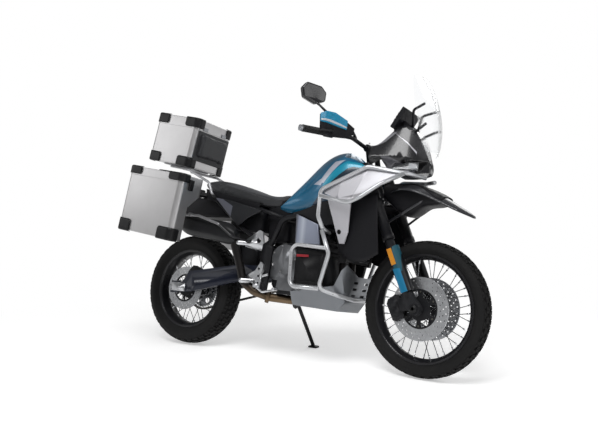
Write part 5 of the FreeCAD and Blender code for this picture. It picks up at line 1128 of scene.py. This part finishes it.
# a glass is a slightly domed sheet: rings of its outline that shrink towards its middle
corners = 0.00092 * np.array([(68, 22), (40, 55), (-44, 43), (-72, 14), (-68, -34), (-12, -55), (58, -28)])
after = np.roll(corners, -1, axis=0)
outline = np.vstack([here + (there - here) * t for here, there in zip(corners, after)
                     for t in (0, 0.25, 0.5, 0.75)])
share = np.linspace(0, 1, 8)[:, None, None]
flat = corners.mean(axis=0) + (outline - corners.mean(axis=0)) * share
dome = 0.0014 * (1 - share[..., 0] ** 2) + 0 * flat[..., 0]
for side, word in SIDES:
    points = np.stack([-0.0006 - dome, side * flat[..., 0], flat[..., 1]], axis=-1)
    turn = np.array(Matrix.Rotation(math.radians(side * HEAD_TURN), 3, "Z"))
    glass = mesh_piece("mirror_glass_" + word, points @ turn.T + HEAD_MIDDLE * [1, side, 1],
                       grid_faces(*points.shape[:2], False, True), "mirror_glass", "steering")
    walled(glass, 0.001)

# silver edge over the nose: its outer and its inner edge
edges = np.array([
    [(1.326, 0.094, 1.246), (1.380, 0.078, 1.240), (1.415, 0.066, 1.215), (1.450, 0.054, 1.150)],
    [(1.326, 0.080, 1.254), (1.380, 0.066, 1.250), (1.413, 0.056, 1.226), (1.447, 0.044, 1.160)]])
for side in (-1, 1):
    patch("nose_edge_%d" % (side + 1), *(edges * [1, side, 1]), "panel_silver", thick=0.004)
print("mirrors and nose edges placed")

# %% [markdown]
# ## Inner panels and boxes
# Between the outer skins and the engine sit plain black pieces that close the view. A panel
# is a sheet between an upper and a lower edge that bulges outward by a sine across it. The
# boxes and the tray are rounded blocks, and the housing below the beak is a skin through a
# row of upright sections.

# %% Sheets, boxes and the housing of the beak
SHEET_WALL = 0.003


def sheet(name, upper, lower, bulge=0.008):
    """p(s, t) = (1 - t) a(s) + t b(s) + n h sin(pi t), with h the bulge, n across the machine."""
    grid = between(upper, lower, 17)
    grid[..., 1] += bulge * np.sin(np.pi * np.linspace(0, 1, 17)[:, None])
    for side, word in SIDES:
        piece = mesh_piece(name + "_" + word, grid * [1, side, 1], grid_faces(*grid.shape[:2]),
                           "moulded_black")
        if side < 0:
            piece.data.flip_normals()
        walled(piece, SHEET_WALL, 1)


sheet("radiator_shroud",
      [(1.062, 0.196, 0.866), (1.130, 0.198, 0.872), (1.220, 0.194, 0.896), (1.296, 0.186, 0.912)],
      [(1.086, 0.168, 0.600), (1.150, 0.172, 0.560), (1.240, 0.174, 0.556), (1.322, 0.176, 0.600)])
sheet("under_tank_panel",
      [(0.775, 0.170, 0.800), (0.860, 0.180, 0.822), (0.965, 0.186, 0.860), (1.050, 0.190, 0.880)],
      [(0.830, 0.176, 0.785), (0.880, 0.180, 0.765), (0.960, 0.184, 0.735), (1.050, 0.186, 0.740)], 0.006)
# name, middle, size, radius of the edges, finish
for name, middle, size, bend, material in [
        # the battery's box, the filter's box and its intake, below the seat and the tank
        ("battery_box", (0.405, 0.0, 0.770), (0.250, 0.190, 0.150), 0.012, "moulded_black"),
        ("filter_box", (0.640, 0.0, 0.830), (0.200, 0.170, 0.120), 0.014, "moulded_black"),
        ("intake_box", (0.635, 0.0, 0.715), (0.150, 0.170, 0.150), 0.016, "moulded_black"),
        # the linkage of the rear shock, and the flap that keeps the tyre's dirt off it
        ("shock_linkage", (0.425, 0.0, 0.553), (0.130, 0.110, 0.130), 0.020, "cast_black"),
        ("shock_flap", (0.352, 0.0, 0.600), (0.006, 0.170, 0.240), 0.002, "moulded_black"),
        # the tray above the rear tyre
        ("rear_tray", (0.080, 0.0, 0.835), (0.440, 0.190, 0.120), 0.020, "moulded_black")]:
    block(name, middle, size, material, bend=bend)
# the pan that carries the seat
sheet("seat_pan",
      [(0.110, 0.128, 0.944), (0.260, 0.132, 0.912), (0.400, 0.132, 0.882), (0.520, 0.130, 0.856)],
      [(0.120, 0.128, 0.880), (0.260, 0.132, 0.852), (0.400, 0.132, 0.826), (0.520, 0.130, 0.806)], 0.0)


def housing(name, rows, material, body):
    """Skin through upright sections across the machine. Each row is (x, low, high, half the
    width), and a section is |y / w|^4 + |2 (z - m) / h|^4 = 1 about its middle m."""
    x, low, high, wide = curve_through(rows, 6).T
    angle = np.linspace(0, 2 * np.pi, 32, endpoint=False)
    across, up = (np.sign(f) * np.abs(f) ** 0.5 for f in (np.cos(angle), np.sin(angle)))
    grid = np.stack([x[:, None] + 0 * angle, wide[:, None] * across,
                     ((low + high) / 2)[:, None] + ((high - low) / 2)[:, None] * up], axis=-1)
    return surface(name, grid, material, body)


# the dark housing between the fork legs that carries the beak
housing("beak_housing",
        [(1.290, 0.900, 0.985, 0.078), (1.380, 0.826, 0.990, 0.074), (1.440, 0.815, 0.988, 0.072),
         (1.510, 0.858, 0.968, 0.074), (1.580, 0.868, 0.940, 0.076), (1.620, 0.880, 0.918, 0.060)],
        "moulded_black", "steering")
print("inner panels placed")

# %% [markdown]
# ## Handguard stripes and fork reflectors
# The shields have a pale stripe near their lower edge. It follows the same edges as the
# shield, which are given in the fork's frame, so it stays parallel to them.

# %% Stripes and reflectors on the front end
# rows along the shield: its distance from the middle plane, then how far its lower and its
# upper edge lie ahead of the steering axis and along it
GUARD = np.array([(0.392, 0.000, 1.350, 0.030, 1.424), (0.360, 0.000, 1.334, 0.048, 1.432),
                  (0.300, 0.002, 1.322, 0.060, 1.428), (0.215, 0.025, 1.320, 0.068, 1.395)])


def guard_point(row, share, off, side):
    """Point on the guard's front, a share of the way up and that far ahead of it."""
    out, low_ahead, low_along, high_ahead, high_along = row
    return by_fork(low_along + (high_along - low_along) * share,
                   low_ahead + (high_ahead - low_ahead) * share + off, side * out)


for side in (-1, 1):
    low = [guard_point(row, 0.56, 0.0087, side) for row in GUARD]
    high = [guard_point(row, 0.66, 0.0087, side) for row in GUARD]
    patch("guard_stripe_%d" % (side + 1), low, high, "pale_stripe", "steering", 0.0006)
    block("fork_reflector_%d" % (side + 1), by_fork(0.645, 0.032, side * 0.1475), (0.026, 0.006, 0.088),
          "lens_amber", "steering", turn=np.array(Matrix.Rotation(-CASTER, 3, "Y")))
print("stripes and reflectors placed")

# %% [markdown]
# ## Radiator, grips and bag marks
# A radiator core is a stack of thin fins on flat tubes. The fins are too fine to model, so a
# few dozen tubes are boxes and the rest is bump. The rubber grips have raised rings, which
# is a radius that goes up and down along the bar.

# %% Tubes, grips and marks
box_faces = [[0, 1, 3, 2], [4, 6, 7, 5], [0, 4, 5, 1], [2, 3, 7, 6], [0, 2, 6, 4], [1, 5, 7, 3]]
corner = np.array([(x, y, z) for x in (-0.5, 0.5) for y in (-0.5, 0.5) for z in (-0.5, 0.5)])
low, high = np.array([1.108, 0, 0.560]), np.array([1.135, 0, 0.746])
middles = low + (high - low) * np.linspace(0.03, 0.97, 24)[:, None, None]
many("radiator_tubes", middles + corner * [0.034, 0.248, 0.0022], box_faces, "cover_alloy")

GRIP, RIPPLE, RINGS = 0.0182, 0.0007, 16      # radius, height of a ring, number of rings
share = np.linspace(0.06, 0.92, 120)
ripple = GRIP + RIPPLE * np.sign(np.sin(share * 2 * np.pi * RINGS))
for side, word in SIDES:
    inner, end = bar + [-0.106, side * 0.305, 0.044], bar + [-0.156, side * 0.436, 0.044]
    path = inner + (end - inner) * share[:, None]
    surface("grip_rings_" + word, pipe_grid(path, ripple, 20), "grip_rubber", "steering")
    # weight screwed to the end of the bar
    out = (end - inner) / np.linalg.norm(end - inner)
    stub = end + out * np.array([[0.0], [0.002], [0.014], [0.016]])
    surface("bar_weight_" + word, pipe_grid(stub, [0.014, 0.0165, 0.0165, 0.013], 20), "dull_alloy",
            "steering")

for side in (-1, 1):
    block("bag_mark_%d" % (side + 1), (0.925, side * 0.2588, 0.562), (0.075, 0.003, 0.013), "bag_red",
          bend=0.001)
print("trim placed")

# %% [markdown]
# ## Floor and sky
# The machine stands on a plain pale floor that runs out of sight. Its shadows are kept near
# the machine, and farther out it fades into the white of the sky.

# %% Floor and sky
def backdrop_white(name):
    """Pale surface with soft shadows near the machine that fades into the white beyond it.
    Only the camera sees it glow, directly or by way of glass and gloss."""
    tree, shader, where = nodes_of(name)
    tree.nodes.remove(shader)
    path = tree.nodes.new("ShaderNodeLightPath").outputs
    seen = math_of(tree, "ADD", path["Is Camera Ray"], path["Is Glossy Ray"])
    seen = math_of(tree, "ADD", seen, path["Is Transmission Ray"], clamp=True)
    paint = add(tree, "BsdfDiffuse", Color=FLOOR_PAINT)
    glow = add(tree, "Emission", Strength=math_of(tree, "MULTIPLY", seen, FLOOR_GLOW))
    both = in_order(tree, "AddShader", paint.outputs[0], glow.outputs[0])
    far = in_order(tree, "VectorMath", where)
    far.operation = "LENGTH"
    fade = add(tree, "MapRange", Value=far.outputs["Value"], **{"From Min": FADE_FROM, "From Max": FADE_TO})
    fade.interpolation_type = "SMOOTHSTEP"
    white = add(tree, "Emission", Color=(1, 1, 1))
    share = math_of(tree, "MULTIPLY", fade.outputs["Result"], seen)
    ground = in_order(tree, "MixShader", share, both.outputs[0], white.outputs[0])
    give(tree, tree.nodes["Material Output"], {"Surface": ground.outputs[0]})


FLOOR_PAINT, FLOOR_GLOW = (0.86, 0.86, 0.86), 0.44
FADE_FROM, FADE_TO = 1.2, 2.6       # metres from the middle of the floor
FLOOR_HALF, FLOOR_LEVEL = 30.0, -0.0005
backdrop_white("floor_white")
floor_mesh = bpy.data.meshes.new("studio_floor")
floor_mesh.from_pydata([(x * FLOOR_HALF, y * FLOOR_HALF, FLOOR_LEVEL)
                        for x, y in ((-1, -1), (1, -1), (1, 1), (-1, 1))], [], [(0, 1, 2, 3)])
floor_mesh.materials.append(finishes["floor_white"])
floor = bpy.data.objects.new("studio_floor", floor_mesh)
bpy.context.scene.collection.objects.link(floor)

SKY_SEEN, SKY_LIGHT = 0.78, 0.22    # what the camera sees more, and what lights the machine
world = bpy.data.worlds.new("studio")
bpy.context.scene.world = world
world.use_nodes = True
tree = world.node_tree
path = tree.nodes.new("ShaderNodeLightPath").outputs
seen = math_of(tree, "ADD", path["Is Camera Ray"], path["Is Transmission Ray"], clamp=True)
level = math_of(tree, "ADD", math_of(tree, "MULTIPLY", seen, SKY_SEEN), SKY_LIGHT)
give(tree, tree.nodes["Background"], {"Color": (1, 1, 1), "Strength": level})
print("floor and sky ready")

# %% [markdown]
# ## Light and camera
# The lamps are large and far, so the shadows are soft, and their level is set so that a
# colour renders about as it is written. The camera stands ahead of the right front corner,
# a little over seat height.

# %% Lamps and camera
def lamp(name, place, aim, size, watts):
    """A rectangular lamp that faces a point."""
    light = bpy.data.lights.new(name, "AREA")
    light.shape = "RECTANGLE"
    light.size, light.size_y = size
    light.energy = watts
    lit = bpy.data.objects.new(name, light)
    lit.location = place
    lit.rotation_euler = (Vector(aim) - Vector(place)).to_track_quat("-Z", "Y").to_euler()
    bpy.context.scene.collection.objects.link(lit)


lamp("key", (1.2, -3.2, 5.2), (0.0, 0.0, 0.6), (3.2, 2.4), 190)
lamp("fill", (-4.2, -2.6, 2.6), (0.0, 0.0, 0.7), (2.6, 2.0), 30)
lamp("far_side", (0.5, 4.6, 3.4), (0.0, 0.0, 0.6), (3.0, 2.2), 60)
lamp("front", (4.6, -0.5, 2.2), (0.3, 0.0, 0.8), (2.0, 2.0), 30)

camera_data = bpy.data.cameras.new("view")
camera_data.lens = 42.168           # millimetres, as is the sensor's width
camera_data.sensor_width = 36.0
camera = bpy.data.objects.new("view", camera_data)
camera.location = (2.1199, -3.4507, 0.9658)
camera.rotation_euler = Euler((math.radians(87.473), math.radians(0.070), math.radians(32.283)), "XYZ")
bpy.context.scene.collection.objects.link(camera)
bpy.context.scene.camera = camera
bpy.context.scene.view_settings.view_transform = "Standard"
print("camera %.2f m from the origin" % Vector(camera.location).length)
